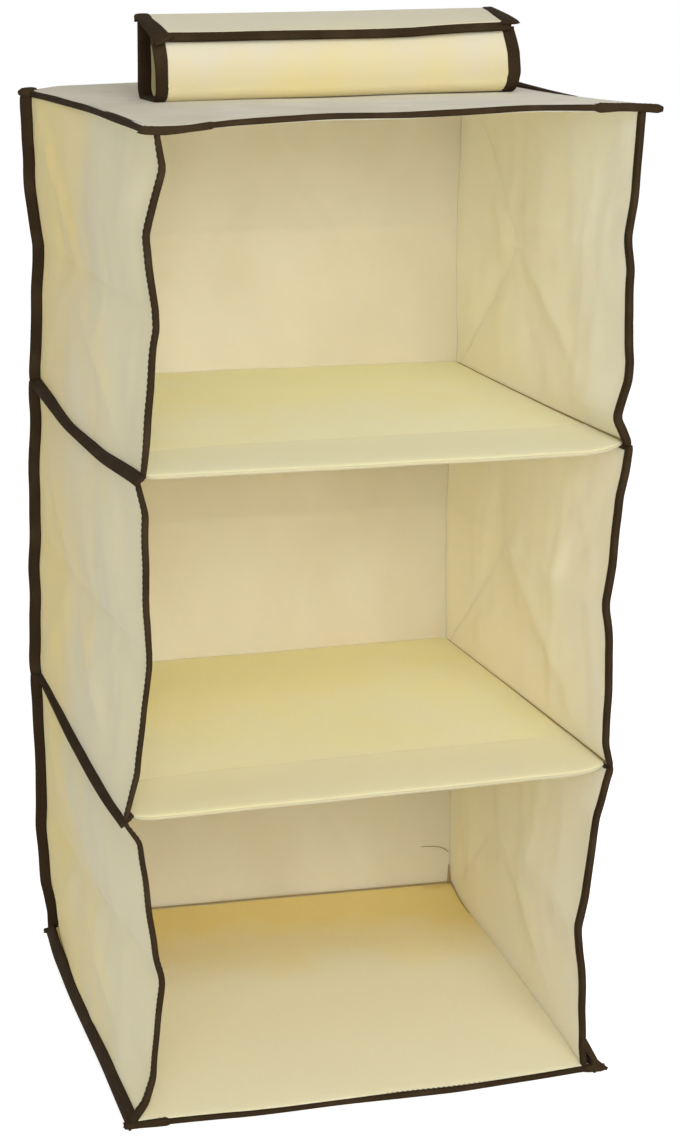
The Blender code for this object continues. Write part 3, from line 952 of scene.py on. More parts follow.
def back_points(level_index, across, down):
    """Points of a back wall on the ideal shelf."""
    high, low = wall_span(level_index)
    z = high - down * (high - low)
    left = -WALL_X + corner_inward(level_index, "left", down)
    right = WALL_X - corner_inward(level_index, "right", down)
    x = left + across * (right - left)
    inside = bow(across) ** 0.5
    y = CORNER_Y + BACK_BELLY * inside * np.abs(np.sin(2 * math.pi * down))
    y = y - BACK_CREASE * inside * np.exp(-np.abs(down - 0.5) / CREASE_REACH)
    y = y + relief(x, np.full_like(x, NOISE_Y), z, down, inside, BACK_RUMPLE_DEPTH, BACK_MARK_DEPTH)
    return np.stack([x, y, z], axis=1)


def back_wall(level_index):
    level = LEVELS[level_index]
    high, low = wall_span(level_index)
    height = high - low
    place = partial(back_points, level_index)
    obj = cloth_sheet(f"{level}_back_wall", 73, WALL_ROWS, place, (2 * WALL_X, height), back_cloth)
    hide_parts(f"{level}_back_upper", f"{level}_back_lower")
    fold_across(obj, level_index, 0, CORNER_Y)
    return obj


back_walls = [back_wall(n) for n in range(len(LEVELS))]
print("back walls", len(back_walls))

# %% [markdown]
# ## Covered boards
#
# Each panel is a stiff board in a cloth cover. The cover is a loop of cloth drawn round
# the board from front to rear, so its shape is a flat oval in the YZ plane, repeated
# across X. A shelf has one thing more: its cloth is turned back over the front of the
# board as a strip, whose hem lies 62 mm behind the front edge.

# %% The loop round a board
PANEL_DEPTH = PANEL_REAR - PANEL_FRONT
FLAT_STEPS, ROUND_STEPS = 40, 6


def oval_loop(half):
    """Points (y, z) round a panel: back over the top, down at the rear, and forward below."""
    front, rear = PANEL_FRONT + half, PANEL_REAR - half
    angles = np.radians(np.linspace(90, -90, ROUND_STEPS + 2)[1:-1])
    top = [(y, half) for y in np.linspace(front, rear, FLAT_STEPS)]
    rear_round = [(rear + half * math.cos(a), half * math.sin(a)) for a in angles]
    under = [(y, -half) for y in np.linspace(rear, front, FLAT_STEPS)]
    front_round = [(front - half * math.cos(a), -half * math.sin(a)) for a in angles]
    return top + rear_round + under + front_round


def spread(loop, across):
    """A loop of (y, z) repeated at each x of across, as three flat arrays."""
    x = np.tile(across, len(loop))
    y, z = np.repeat(loop, len(across), axis=0).T
    return x, y, z


PANEL_DENT = 0.5 * MM
BOARD_SINK = 0.2 * MM


def panel_shape(panel_index, x, y, z):
    """Gives a flat panel the bow of its side seams, the sag of its front edge and fine dents."""
    share = (x + PANEL_X) / (2 * PANEL_X)
    rearward = (y - WALL_FRONT) / WALL_DEPTH
    out_left, down_left = seam_offset(panel_index, "left", rearward)
    out_right, down_right = seam_offset(panel_index, "right", rearward)
    near_left, near_right = np.clip(1 - share, 0, 1) ** 4, np.clip(share, 0, 1) ** 4
    seed = np.stack([x, y, np.full_like(x, 0.9 + panel_index)], axis=1)
    new_x = x - out_left * near_left + out_right * near_right
    new_z = z - down_left * near_left - down_right * near_right
    new_z = new_z + PANEL_DENT * waves(seed, DENTS) * bow(share) - BOARD_SINK
    return np.stack([new_x, y, PANEL_Z[panel_index] + new_z], axis=1)


# %% [markdown]
# The upper cloth of the two closed panels isn't drawn tight. It rises towards the rear,
# on the top panel as a soft roll, and in the bottom one where it turns up to the seam.
# The underside has the walls' tone, so the top compartment gets its light back from it.

# %% The two closed panels
REAR_RISE = {  # (share from left to right, mm) that the upper cloth rises by at the rear
    "top": ((0, 0), (0.06, 2.0), (0.94, 2.2), (1, 1.2)),
    "bottom": ((0, 2.5), (0.06, 7.5), (0.12, 9.0), (0.24, 9.6), (1, 6.0)),
}
RISE_REACH = 0.060
RISE_END = CORNER_Y - 0.0015
RISE_DROP = 0.0025  # in the bottom panel it is gone again this far behind its end


def cloth_rise(panel_index, x, y):
    """How far the upper cloth of a closed panel stands over its board."""
    name = PANELS[panel_index]
    share = np.clip((x + PANEL_X) / (2 * PANEL_X), 0, 1)
    risen = np.clip((y - RISE_END + RISE_REACH) / RISE_REACH, 0, 1) ** 2
    if name == "bottom":
        risen = risen * np.clip(1 - (y - RISE_END) / RISE_DROP, 0, 1)
    return smooth_line(REAR_RISE[name], share) * MM * risen


def fit_cover(obj, panel_index, node):
    """Puts a cloth drawn round a board in the place of its node."""
    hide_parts(node)
    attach(obj, PANEL_BODIES[panel_index])
    return obj


def closed_panel(panel_index, material):
    name = PANELS[panel_index]
    loop = np.array(oval_loop(PANEL_HALF))
    across = np.linspace(-PANEL_X, PANEL_X, 61)
    x, y, z = spread(loop, across)
    upper = np.clip(0.5 + z / (2 * PANEL_HALF), 0, 1)
    z = z + upper * cloth_rise(panel_index, x, y)
    points = hang(panel_shape(panel_index, x, y, z)).reshape(len(loop), len(across), 3)
    girth = 2 * PANEL_DEPTH
    obj = grid_object(f"{name}_cloth", points, (2 * PANEL_X, girth), material, closed=True)
    obj.data.materials.append(wall_cloth)
    for number, face in enumerate(obj.data.polygons):
        face.material_index = int(loop[number // (len(across) - 1), 1] < 0)
    face_outwards(obj.data)
    thicken(obj, CLOTH, offset=-1)
    return fit_cover(obj, panel_index, f"{name}_cover")


top_cloth = closed_panel(0, lid_cloth)
bottom_cloth = closed_panel(3, floor_cloth)
print("closed panels", top_cloth.name, bottom_cloth.name)

# %% [markdown]
# ## The shelves
#
# On a shelf the loop is open: it starts at the pocket's mouth, runs back over the board,
# round below and up over the front, and ends as a strip that lies on its own beginning.
# Near the two side seams the cloth is pinched flat and drawn back from the board's
# rounded corners, which is why the front edge curves away just before each wall.

# %% The shelves
STRIP = 0.062
STRIP_LAP = 0.004
STRIP_ROWS = 22
# The darker cloth on the front edge, which starts 9 rows before the strip, is painted shade.
RIM_SHADE_START, STRIP_START = 9, 2  # rows before the strip's first
HEM_LIFT, HEM_CURL, HEM_CURL_REACH = 0.2 * MM, 0.5 * MM, 0.012
CORNER_DRAW = 0.007
CORNER_REACH = 0.015
FRONT_TAPER = 0.014  # the front edge is thinner than the board behind it
LEFT_TUCK = {"upper_shelf": 0.0026, "lower_shelf": 0.0}  # the front left corner stays under its tape


def shelf_loop():
    """(y, z) from the pocket's mouth, back, round below, up over the front and onto the strip's hem."""
    mouth = PANEL_FRONT + STRIP
    half = PANEL_HALF - CLOTH / 2
    loop = oval_loop(half)
    start = next(n for n, point in enumerate(loop) if point[0] > mouth - STRIP_LAP)
    for y in np.linspace(PANEL_FRONT + half, mouth, STRIP_ROWS):
        curled = max(0, (y - mouth + HEM_CURL_REACH) / HEM_CURL_REACH)
        loop.append((y, half + HEM_LIFT + HEM_CURL * curled))
    return np.array(loop[start:])


def shelf(panel_index):
    name = PANELS[panel_index]
    loop = shelf_loop()
    across = np.concatenate([
        np.linspace(-PANEL_X, -PANEL_X + CORNER_REACH, 13)[:-1],
        np.linspace(-PANEL_X + CORNER_REACH, PANEL_X - CORNER_REACH, 49),
        np.linspace(PANEL_X - CORNER_REACH, PANEL_X, 13)[1:],
    ])
    x, y, z = spread(loop, across)
    near = np.clip((np.abs(x) - (PANEL_X - CORNER_REACH)) / CORNER_REACH, 0, 1)
    ahead = np.clip((PANEL_FRONT + FRONT_TAPER - y) / FRONT_TAPER, 0, 1)
    pinch = (1 - 0.55 * near ** 4) * (1 - 0.45 * ahead ** 1.5)
    drawn = CORNER_DRAW * near ** 2.5 * np.clip((MIDDLE_Y - y) / (MIDDLE_Y - PANEL_FRONT), 0, 1) ** 3
    tuck = LEFT_TUCK[name] * near ** 2 * (x < 0) * (PANEL_REAR - y) / PANEL_DEPTH
    points = hang(panel_shape(panel_index, x + tuck, y + drawn, z * pinch)).reshape(len(loop), len(across), 3)
    girth = 2 * PANEL_DEPTH + STRIP_LAP
    obj = grid_object(f"{name}_cloth", points, (2 * PANEL_X, girth), shelf_cloth)
    # The front edge takes the darker rim cloth, painted shade, and the strip its own cloth.
    obj.data.materials.append(hem_cloth)
    obj.data.materials.append(strip_cloth)
    first_row = len(loop) - STRIP_ROWS
    for number, face in enumerate(obj.data.polygons):
        row = number // (len(across) - 1) - first_row
        face.material_index = int(row >= -RIM_SHADE_START) + int(row >= -STRIP_START)
    thicken(obj, CLOTH)
    return fit_cover(obj, panel_index, f"{name}_sleeve")


shelves = [shelf(1), shelf(2)]
print("shelves", [o.name for o in shelves])

# %% [markdown]
# ## The boards inside
#
# The stiff boards never show, but a cover without its board would be an empty bag in any
# cut-away view. Each is a thin plate with rounded corners, laid in its cover.

# %% The boards inside
BOARD_INSET = 0.004


def stiffener(panel_index):
    name = PANELS[panel_index]
    low, high = panel_boxes[panel_index]

    def place(across, down):
        x = low.x + BOARD_INSET + across * (high.x - low.x - 2 * BOARD_INSET)
        y = low.y + CORNER_DRAW + down * (high.y - low.y - CORNER_DRAW - BOARD_INSET)
        return panel_shape(panel_index, x, y, np.zeros_like(x))

    size, thickness = (high.x - low.x, high.y - low.y), (high.z - low.z) * 0.9
    obj = cloth_sheet(f"{name}_stiffener", 25, 25, place, size, grey_board, thickness)
    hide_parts(f"{name}_board")
    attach(obj, PANEL_BODIES[panel_index])
    return obj


stiffeners = [stiffener(n) for n in range(len(PANELS))]
print("boards", len(stiffeners))

# %% [markdown]
# ## Folded edge tape
#
# Edge tape is folded over the raw edges, so its cross-section is a flat drop: round and
# full at the fold, thinner at the two lips. A tape is that section swept along a path.
# At each point of the path the tape needs one direction of its own, from the fold to the
# lips. A small wobble in width, fullness and twist keeps it from looking extruded.

# %% Folded edge tape
SECTION_STEPS = 16
TAPE_FULLNESS = 0.0036
STITCH_SHARE = 0.70  # where the stitches lie between the fold and the lips
END_REACH = 0.003  # a tape's ends are closed over this length


def tape_section():
    """Points (from the fold to the lips, through the tape) round a folded tape of width and fullness 1."""
    turn = np.linspace(0, 2 * math.pi, SECTION_STEPS, endpoint=False)
    along = (1 - np.cos(turn)) / 2
    side = np.sign(np.sin(turn)) * np.abs(np.sin(turn)) ** 0.45
    taper = 1 - 0.25 * along
    return np.stack([along, side * taper / 2], axis=1)


def unit(vectors):
    return vectors / np.maximum(np.linalg.norm(vectors, axis=1), 1e-12)[:, None]


def path_frames(path, inward):
    """The direction to the lips and the one through the tape, at each point."""
    along = unit(np.gradient(path, axis=0))
    lips = unit(inward - (inward * along).sum(1)[:, None] * along)
    return lips, np.cross(along, lips)


def respaced(path, step, values=None):
    """The path again with points about a step apart, and any values carried along it."""
    path = np.asarray(path, float)
    run = np.concatenate([[0], np.cumsum(np.linalg.norm(np.diff(path, axis=0), axis=1))])
    at = np.linspace(0, run[-1], max(3, round(run[-1] / step) + 1))
    new_path = np.stack([np.interp(at, run, path[:, k]) for k in range(3)], axis=1)
    if values is None:
        return new_path
    return new_path, np.stack([np.interp(at, run, np.asarray(values, float)[:, k]) for k in range(3)], axis=1)


def wobble(count, seed, waves_in_path):
    source = np.random.default_rng(seed)
    stops = source.uniform(-1, 1, max(4, int(waves_in_path)))
    return np.interp(np.linspace(0, 1, count), np.linspace(0, 1, len(stops)), stops)


def folded_tape(name, path, inward, width=TAPE_WIDTH, fullness=TAPE_FULLNESS, seed=1, step=0.0025,
                ends=(0.6, 0.6), flare=(1, 1), foot=1, slim=1, roll=7):
    """Sweeps a folded tape along its fold line. It returns the object and the two lines of its stitches.

    flare scales the width at the start and the end, foot the thickness at the very end and slim the
    thickness near both ends. roll is how many degrees the tape may turn about its path.
    """
    path, inward = respaced(path, step, inward)
    count = len(path)
    lips, through = path_frames(path, inward)
    length = float(np.linalg.norm(np.diff(path, axis=0), axis=1).sum())
    bends = max(4, length / 0.03)
    widths = width * np.linspace(*flare, count) * (1 + 0.06 * wobble(count, seed, bends))
    fulls = fullness * (1 + 0.12 * wobble(count, seed + 1, bends))
    twist = np.radians(roll) * wobble(count, seed + 2, bends / 1.5)
    share = np.linspace(0, 1, count)
    fulls = fulls * (1 + (foot - 1) * share ** 9)
    fulls = fulls * (slim + (1 - slim) * np.clip(bow(share) / 0.45, 0, 1))
    run = np.linspace(0, length, count)
    for end, share in ((run, ends[0]), (length - run, ends[1])):
        fulls = fulls * (share + (1 - share) * np.clip(end / END_REACH, 0, 1) ** 0.5)
    cos, sin = np.cos(twist)[:, None], np.sin(twist)[:, None]
    lips, through = lips * cos + through * sin, through * cos - lips * sin
    section = tape_section()
    widths, fulls = widths[:, None], fulls[:, None]
    across, thick = section[:, 0] * widths, section[:, 1] * fulls
    rings = path[:, None] + across[:, :, None] * lips[:, None] + thick[:, :, None] * through[:, None]
    rings = hang(rings).reshape(count, SECTION_STEPS, 3)
    obj = tube_object(name, rings, length, width, brown_tape)
    half = section[SECTION_STEPS // 2 - 3, 1] * fulls
    lines = [hang(path + lips * widths * STITCH_SHARE + face * through * half) for face in (1, -1)]
    return obj, lines


def tube_object(name, rings, length, width, material):
    """A tube of quads through rings of points, with a fan at each end. U runs along it in metres."""
    count, steps, _ = rings.shape
    points = rings.reshape(-1, 3)
    faces, places = [], []
    for n in range(count - 1):
        for k in range(steps):
            square = [(n, k), (n, k + 1), (n + 1, k + 1), (n + 1, k)]
            faces.append([r * steps + c % steps for r, c in square])
            places += [(r / count * length, c / steps * 2 * width) for r, c in square]
    for n in (0, count - 1):
        ring = [n * steps + k for k in range(steps)]
        centre = len(points)
        points = np.vstack([points, points[ring].mean(0)])
        for k in range(steps):
            faces.append([ring[k], ring[(k + 1) % steps], centre])
            places += [(n / count * length, k / steps * width)] * 3
    mesh = bpy.data.meshes.new(name)
    mesh.from_pydata(points.tolist(), [], faces)
    layer = mesh.uv_layers.new(name="along")
    layer.data.foreach_set("uv", np.array(places, float).ravel())
    face_outwards(mesh)
    mesh.shade_smooth()
    mesh.materials.append(material)
    return add_object(name, mesh)


# %% [markdown]
# ## Stitches along a line
#
# The tape is sewn through once, near its lips, and the stitches show on both faces. They
# repeat thousands of times along lines, which is work for Geometry Nodes: the line is
# resampled to one point for each stitch, a small capsule is set on every point and
# turned to the line, and the instances are realised. The capsule has few faces.

# %% The stitch tree
STITCH = {"Pitch": 0.0034, "Length": 0.0024, "Thread radius": 0.00028, "Slant": 0.12}


def make_stitch_tree():
    tree = bpy.data.node_groups.new("stitch_row", "GeometryNodeTree")
    kinds = {"Geometry": "Geometry", **dict.fromkeys(STITCH, "Float"), "Seed": "Int", "Thread": "Material"}
    for label, kind in kinds.items():
        socket = tree.interface.new_socket(label, in_out="INPUT", socket_type=f"NodeSocket{kind}")
        if label in STITCH:
            socket.default_value = STITCH[label]
    tree.interface.new_socket("Geometry", in_out="OUTPUT", socket_type="NodeSocketGeometry")
    add = partial(node, tree)
    given = add("NodeGroupInput", {})
    curve = add("GeometryNodeMeshToCurve", {"Mesh": given["Geometry"]})
    lengths = {"Curve": curve["Curve"], "Length": given["Pitch"]}
    spaced = add("GeometryNodeResampleCurve", lengths, mode="LENGTH")
    ball = add("GeometryNodeMeshUVSphere", {"Segments": 6, "Rings": 4, "Radius": 1.0})
    radius, half = given["Thread radius"], math_node(tree, "MULTIPLY", given["Length"], 0.5)
    size = add("ShaderNodeCombineXYZ", {"X": radius, "Y": radius, "Z": half})
    capsule = add("GeometryNodeTransform", {"Geometry": ball["Mesh"], "Scale": size[0]})
    tangent = add("GeometryNodeInputTangent", {})
    along = add("FunctionNodeAlignRotationToVector", {"Vector": tangent["Tangent"]}, axis="Z")
    least = math_node(tree, "MULTIPLY", given["Slant"], -1)
    limits = {2: least, 3: given["Slant"], "Seed": given["Seed"]}
    lean = add("FunctionNodeRandomValue", limits, data_type="FLOAT")
    tilt = add("ShaderNodeCombineXYZ", {"X": lean[1]})
    turns = {"Rotation": along["Rotation"], "Rotate By": tilt[0]}
    turned = add("FunctionNodeRotateRotation", turns, rotation_space="LOCAL")
    places = {"Points": spaced["Curve"], "Instance": capsule["Geometry"], "Rotation": turned["Rotation"]}
    rows = add("GeometryNodeInstanceOnPoints", places)
    real = add("GeometryNodeRealizeInstances", {"Geometry": rows["Instances"]})
    smooth = add("GeometryNodeSetShadeSmooth", {"Geometry": real["Geometry"]})
    done = add("GeometryNodeSetMaterial", {"Geometry": smooth["Geometry"], "Material": given["Thread"]})
    add("NodeGroupOutput", {"Geometry": done["Geometry"]})
    return tree


stitch_tree = make_stitch_tree()
print("stitch tree", len(stitch_tree.nodes), "nodes")

# %% Sew along lines
def sew(name, lines, seed):
    """A plain mesh of stitches along lines of hung points."""
    points = np.concatenate(lines)
    line_ends = set(np.cumsum([len(line) for line in lines]) - 1)
    edges = [(n, n + 1) for n in range(len(points) - 1) if n not in line_ends]
    mesh = bpy.data.meshes.new(name)
    mesh.from_pydata(points.tolist(), edges, [])
    obj = add_object(name, mesh)
    rows = obj.modifiers.new("stitches", "NODES")
    rows.node_group = stitch_tree
    named = {s.name: s.identifier for s in stitch_tree.interface.items_tree if s.in_out == "INPUT"}
    for label, value in {**STITCH, "Seed": seed, "Thread": brown_thread}.items():
        rows[named[label]] = value
    return to_plain_mesh(obj)


def sew_on(tape, lines, seed, place):
    """Stitches a tape along its lines, then gives tape and stitches their place."""
    for piece in (tape, sew(tape.name.replace("binding", "stitches"), lines, seed)):
        place(piece)
    return tape


# %% [markdown]
# ## Binding down the front edges
#
# The binding follows the wall's own front edge, so it repeats the wall's rule at the edge and runs its lips
# back into the cloth.

# %% Binding down the front edges
FRONT_FULLNESS = {
    "left": (0.0044, 0.0040, 0.0038),
    "right": (0.0046, 0.0044, 0.0042),
}
FRONT_SLIM = {"left": 0.74, "right": 1}
UPRIGHT_POINTS = 90
FRONT_DROP = 0.0006  # a front tape starts this far below its panel's middle
UPRIGHT_FOOT = 0.0002  # and ends this far below the next one's


def upright_tape(name, level_index, side, y, drop, inward, reach, **form):
    """Tape down an edge of a side wall: its lips on the wall at y, its fold at a reach from there."""
    high, low = PANEL_Z[level_index] - drop, PANEL_Z[level_index + 1] - UPRIGHT_FOOT
    z = np.linspace(high, low, UPRIGHT_POINTS)
    lips_line = wall_points(level_index, side, np.full_like(z, y), z)
    inward = np.tile((*inward, 0.0), (len(z), 1))
    return folded_tape(name, lips_line - inward * reach, inward, **form)


def front_binding(level_index, side):
    name = f"{LEVELS[level_index]}_{side}"
    inward = (-SIDES[side] * math.sin(FRONT_TURN[side]), math.cos(FRONT_TURN[side]))
    seed = 20 + 7 * level_index + (side == "right")
    form = {"fullness": FRONT_FULLNESS[side][level_index], "slim": FRONT_SLIM[side], "seed": seed}
    if name == "bottom_left":
        form["foot"] = 2.4
    edge = (level_index, side, LIPS_Y, FRONT_DROP, inward, TAPE_WIDTH)
    obj, lines = upright_tape(f"{name}_front_binding", *edge, **form)
    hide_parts(f"{name}_upper_tape", f"{name}_lower_tape")

    def fold(piece):
        fold_across(piece, level_index, SIDES[side] * WALL_X, 0)

    return sew_on(obj, lines, seed, fold)


front_bindings = [front_binding(n, side) for n in range(len(LEVELS)) for side in SIDES]
print("front bindings", len(front_bindings))

# %% [markdown]
# ## Binding down the rear corners
#
# At a rear corner the side wall and the back wall are laid edge to edge and bound together, so the tape
# stands off the corner like a fin. Handling has turned it outwards. It is cut at every panel, and is parented
# to the panel above, as the loose corner is. At the top left it stops short of the knob on the panel's own
# tape.

# %% Binding down the rear corners
REAR_TURN = math.radians(60)
REAR_TAPE_WIDTH = 0.0086
REAR_FULLNESS = 0.0042
REAR_DROP = 0.0004
KNOB_DROP = 0.0020
REAR_GAP = {"left": -0.0004, "right": 0.0002}  # from the corner of the cloth out to the lips


def rear_binding(level_index, side):
    name = f"{LEVELS[level_index]}_{side}"
    inward = (-SIDES[side] * math.sin(REAR_TURN), -math.cos(REAR_TURN))
    seed = 60 + 7 * level_index + (side == "right")
    drop = KNOB_DROP if name == "top_left" else REAR_DROP
    edge = (level_index, side, CORNER_Y, drop, inward, REAR_TAPE_WIDTH + REAR_GAP[side])
    form = {"width": REAR_TAPE_WIDTH, "fullness": REAR_FULLNESS, "seed": seed}
    obj, lines = upright_tape(f"{name}_rear_binding", *edge, **form)
    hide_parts(f"{name}_rear_tape")
    return sew_on(obj, lines, seed, lambda piece: crumple(piece, level_index))


rear_bindings = [rear_binding(n, side) for n in range(len(LEVELS)) for side in SIDES]
print("rear bindings", len(rear_bindings))

# %% [markdown]
# ## Binding round the panels
#
# The top and the bottom panel are bound on all four edges. The front tape runs past both
# corners as short loose ends, the ears. The shelves are bound on three sides only, and
# their tape stands out and hangs a little, because it also holds the walls above and
# below. Each run is drawn as corners of the ideal panel and then takes the panel's own
# bow and sag.

# %% Paths round a panel
SIDE_TAPE_HUMP = 0.0034  # beside the strap, the top panel's right tape is doubled and stands over its cloth
HUMP_FROM, HUMP_REACH = -0.070, 0.100
EAR_DROOP, EAR_REACH = 0.0008, 0.009
PATH_STEP = 0.004
RING_OUT = 0.0012  # from the panel's edge out to the fold of its tape


def panel_path(panel_index, corners):
    """A path through ideal (x, y) corners of a panel, at its middle height, with the panel's bow and sag."""
    flat = respaced([(x, y, 0) for x, y in corners], PATH_STEP)
    return panel_shape(panel_index, flat[:, 0], flat[:, 1], np.zeros(len(flat)))


def edge_run(panel_index, first, last, outward, name, seed, out=RING_OUT, rise=0.0, lean=0.0, **form):
    """Tape on one straight edge, its fold outside. lean turns the lips from over the panel to upwards."""
    path = panel_path(panel_index, (first, last))
    path = path + np.array((*outward, 0.0)) * out
    path[:, 2] += rise
    if name == "top_binding_right_fold":
        path[:, 2] += SIDE_TAPE_HUMP * np.clip((path[:, 1] - HUMP_FROM) / HUMP_REACH, 0, 1)
    path[:, 2] -= EAR_DROOP * np.clip((path[:, 0] - PANEL_X) / EAR_REACH, 0, 1)
    inward = -np.array((*outward, 0.0)) * math.cos(lean) + np.array((0.0, 0.0, math.sin(lean)))
    return folded_tape(name, path, np.tile(inward, (len(path), 1)), seed=seed, **form)


# %% [markdown]
# The tape of a panel lies over its edge like a flat U: as high as the panel is thick, and
# only a few millimetres deep. So here the section is nearly round, and it is squeezed
# between the cloth above and below.

# %% Binding round the two closed panels
RING_DEPTH = 0.0044
FRONT_HEIGHT = 0.0038
SIDE_HEIGHT = 0.0046
STANDING = {"width": 0.0100, "fullness": 0.0044, "rise": -0.0030}
LAP = {"width": RING_DEPTH + 0.0006, "fullness": FRONT_HEIGHT + 0.0012, "ends": (0.8, 0.5)}
KNOT = {**LAP, "fullness": FRONT_HEIGHT + 0.0022, "ends": (0.7, 0.6)}
KNOB = {"width": 0.0066, "fullness": 0.0078, "ends": (0.4, 0.8), "rise": 0.0008}
BRACE = {"width": 0.0052, "fullness": 0.0028, "flare": (1, 0.45), "ends": (0.6, 0.3)}
LAP_OUT = 0.0004  # the doubled ends stand this far out over the front tape
CROSSING = 0.001  # two runs pass each other by this at a corner
REAR_CROSSING = {"top": 0.002, "bottom": 0.005}  # the rear run at its left end


def closed_panel_binding(panel_index, left_ear, right_ear, doubled):
    name = PANELS[panel_index]
    x, front, rear = PANEL_X, PANEL_FRONT, PANEL_REAR
    flat = {"width": RING_DEPTH, "fullness": FRONT_HEIGHT}
    sides = {side: {"width": RING_DEPTH, "fullness": SIDE_HEIGHT} for side in SIDES}
    if name == "bottom":
        sides["left"] = {**STANDING, "out": 0.0020, "lean": math.radians(68)}
        sides["right"] = {**STANDING, "out": 0.0040, "lean": math.radians(85)}
    ahead, behind, lap_y = front - CROSSING, rear + CROSSING, front - LAP_OUT
    runs = {
        "front": ((-x - left_ear, front), (x + right_ear, front), (0, -1), flat),
        "left": ((-x, ahead), (-x, behind), (-1, 0), sides["left"]),
        "rear": ((-x - REAR_CROSSING[name], rear), (x + 2 * CROSSING, rear), (0, 1), flat),
        "right": ((x, ahead), (x, behind), (1, 0), sides["right"]),
        "left_lap": ((-x - left_ear, lap_y), (-x + doubled[0], lap_y), (0, -1), LAP),
        "right_lap": ((x - doubled[1], lap_y), (x + right_ear, lap_y), (0, -1), KNOT),
    }
    if name == "top":
        runs["right_fold"] = ((x, HUMP_FROM), (x, rear), (1, 0), {**sides["right"], "ends": (0.3, 0.8)})
    made, rows = [], []
    for number, (label, (first, last, outward, form)) in enumerate(runs.items()):
        seed = 100 + 10 * panel_index + number
        obj, lines = edge_run(panel_index, first, last, outward, f"{name}_binding_{label}", seed, **form)
        made.append(obj)
        rows += lines
    if name == "bottom":
        made.append(ear_brace(panel_index, right_ear))
    else:
        made.append(corner_knob(panel_index))
    obj = joined(made, f"{name}_binding")
    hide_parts(f"{name}_tape")
    return sew_on(obj, rows, 7 + panel_index, lambda piece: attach(piece, PANEL_BODIES[panel_index]))


def ear_brace(panel_index, right_ear):
    """The end of the right wall's tape, drawn out to the ear of the bottom tape as a small triangle."""
    z = PANEL_Z[panel_index]
    path = np.array([
        (PANEL_X - 0.0028, PANEL_FRONT, z + 0.0200),
        (PANEL_X + right_ear - 0.0050, PANEL_FRONT - 0.0004, z + 0.0048),
        (PANEL_X + right_ear + 0.0022, PANEL_FRONT - 0.0008, z - 0.0010),
    ])
    inward = np.tile((-0.78, 0.0, -0.62), (len(path), 1))
    return folded_tape("bottom_ear_brace", path, inward, seed=177, **BRACE)[0]


def corner_knob(panel_index):
    """The tape's two ends, lapped at the rear left corner into a small round knob."""
    y = PANEL_REAR - CROSSING
    ends = ((-PANEL_X - 0.0078, y), (-PANEL_X + 0.0035, y))
    return edge_run(panel_index, *ends, (0, 1), "top_binding_knob", 181, **KNOB)[0]


def joined(objects, name):
    """One object from several meshes with the same materials."""
    shape = bmesh.new()
    for obj in objects:
        shape.from_mesh(obj.data)
    mesh = bpy.data.meshes.new(name)
    for material in objects[0].data.materials:
        mesh.materials.append(material)
    shape.to_mesh(mesh)
    shape.free()
    for obj in objects:
        bpy.data.objects.remove(obj, do_unlink=True)
    return add_object(name, mesh)


top_binding = closed_panel_binding(0, 0.0035, 0.0092, doubled=(0.040, 0.032))
closed_panel_binding(3, 0.0045, 0.0110, doubled=(0.024, 0.004))
print("bindings", top_binding.name, len(top_binding.data.polygons))

# %% Binding round the shelves
SEAM_TAPE_WIDTH = 0.0066
SEAM_INSET = 0.0012  # the side runs' lips lie this far inside the panel's edges
SEAM_BACK = 0.004  # the right run starts this far behind the walls' front edges
SEAM_DROOP = math.radians(38)
SEAM_FLARE = {"upper_shelf": (1.2, 1.2), "lower_shelf": (1.5, 1.2)}
SEAM_IN = {"upper_shelf": 0.0026, "lower_shelf": -0.0008}  # the left run's front end follows the wall
SEAM_LONGER = {"upper_shelf": 0.0040, "lower_shelf": 0.0}  # the left run passes the front tape
SEAM_RISE = {  # how far each run's lips stand over the shelf's middle height
    "upper_shelf": {"left": 0.0014, "rear": 0.0005, "right": 0.0004},
    "lower_shelf": {"left": 0.0019, "rear": 0.0005, "right": 0.0004},
}


def shelf_binding(panel_index):
    name = PANELS[panel_index]
    x, front, rear = PANEL_X - SEAM_INSET, WALL_FRONT + CROSSING, PANEL_REAR - 0.0004
    behind = rear + CROSSING
    left_start = (-x + SEAM_IN[name], front - SEAM_LONGER[name])
    runs = {
        "left": (left_start, (-x, behind), (-1, 0), SEAM_FLARE[name]),
        "rear": ((-x - CROSSING, rear), (x + CROSSING, rear), (0, 1), (1, 1)),
        "right": ((x, front + SEAM_BACK), (x, behind), (1, 0), (1.1, 1.2)),
    }
    made, rows = [], []
    for number, (label, (first, last, outward, flare)) in enumerate(runs.items()):
        lips_line = panel_path(panel_index, (first, last)) + np.array((0.0, 0.0, SEAM_RISE[name][label]))
        away = np.array((*outward, 0.0)) * math.cos(SEAM_DROOP) - np.array((0, 0, math.sin(SEAM_DROOP)))
        path = lips_line + away * SEAM_TAPE_WIDTH * np.linspace(*flare, len(lips_line))[:, None]
        inward = np.tile(-away, (len(path), 1))
        form = {"width": SEAM_TAPE_WIDTH, "flare": flare, "seed": 200 + 10 * panel_index + number}
        obj, lines = folded_tape(f"{name}_binding_{label}", path, inward, **form)
        made.append(obj)
        rows += lines
    obj = joined(made, f"{name}_binding")
    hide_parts(f"{name}_tape")
    return sew_on(obj, rows, 9 + panel_index, lambda piece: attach(piece, PANEL_BODIES[panel_index]))


shelf_bindings = [shelf_binding(1), shelf_binding(2)]
print("shelf bindings", len(shelf_bindings))

# %% [markdown]
# ## The strap
#
# The strap is a flat tunnel for the rail. Two layers of cloth, sewn to the top panel,
# rise as a front leg and a rear leg. A flap from the rear leg closes over the front leg,
# where an inner wing waits for it with the other half of a hook and loop tape. The front
# leg bellies forward, and both ends of everything are bound.

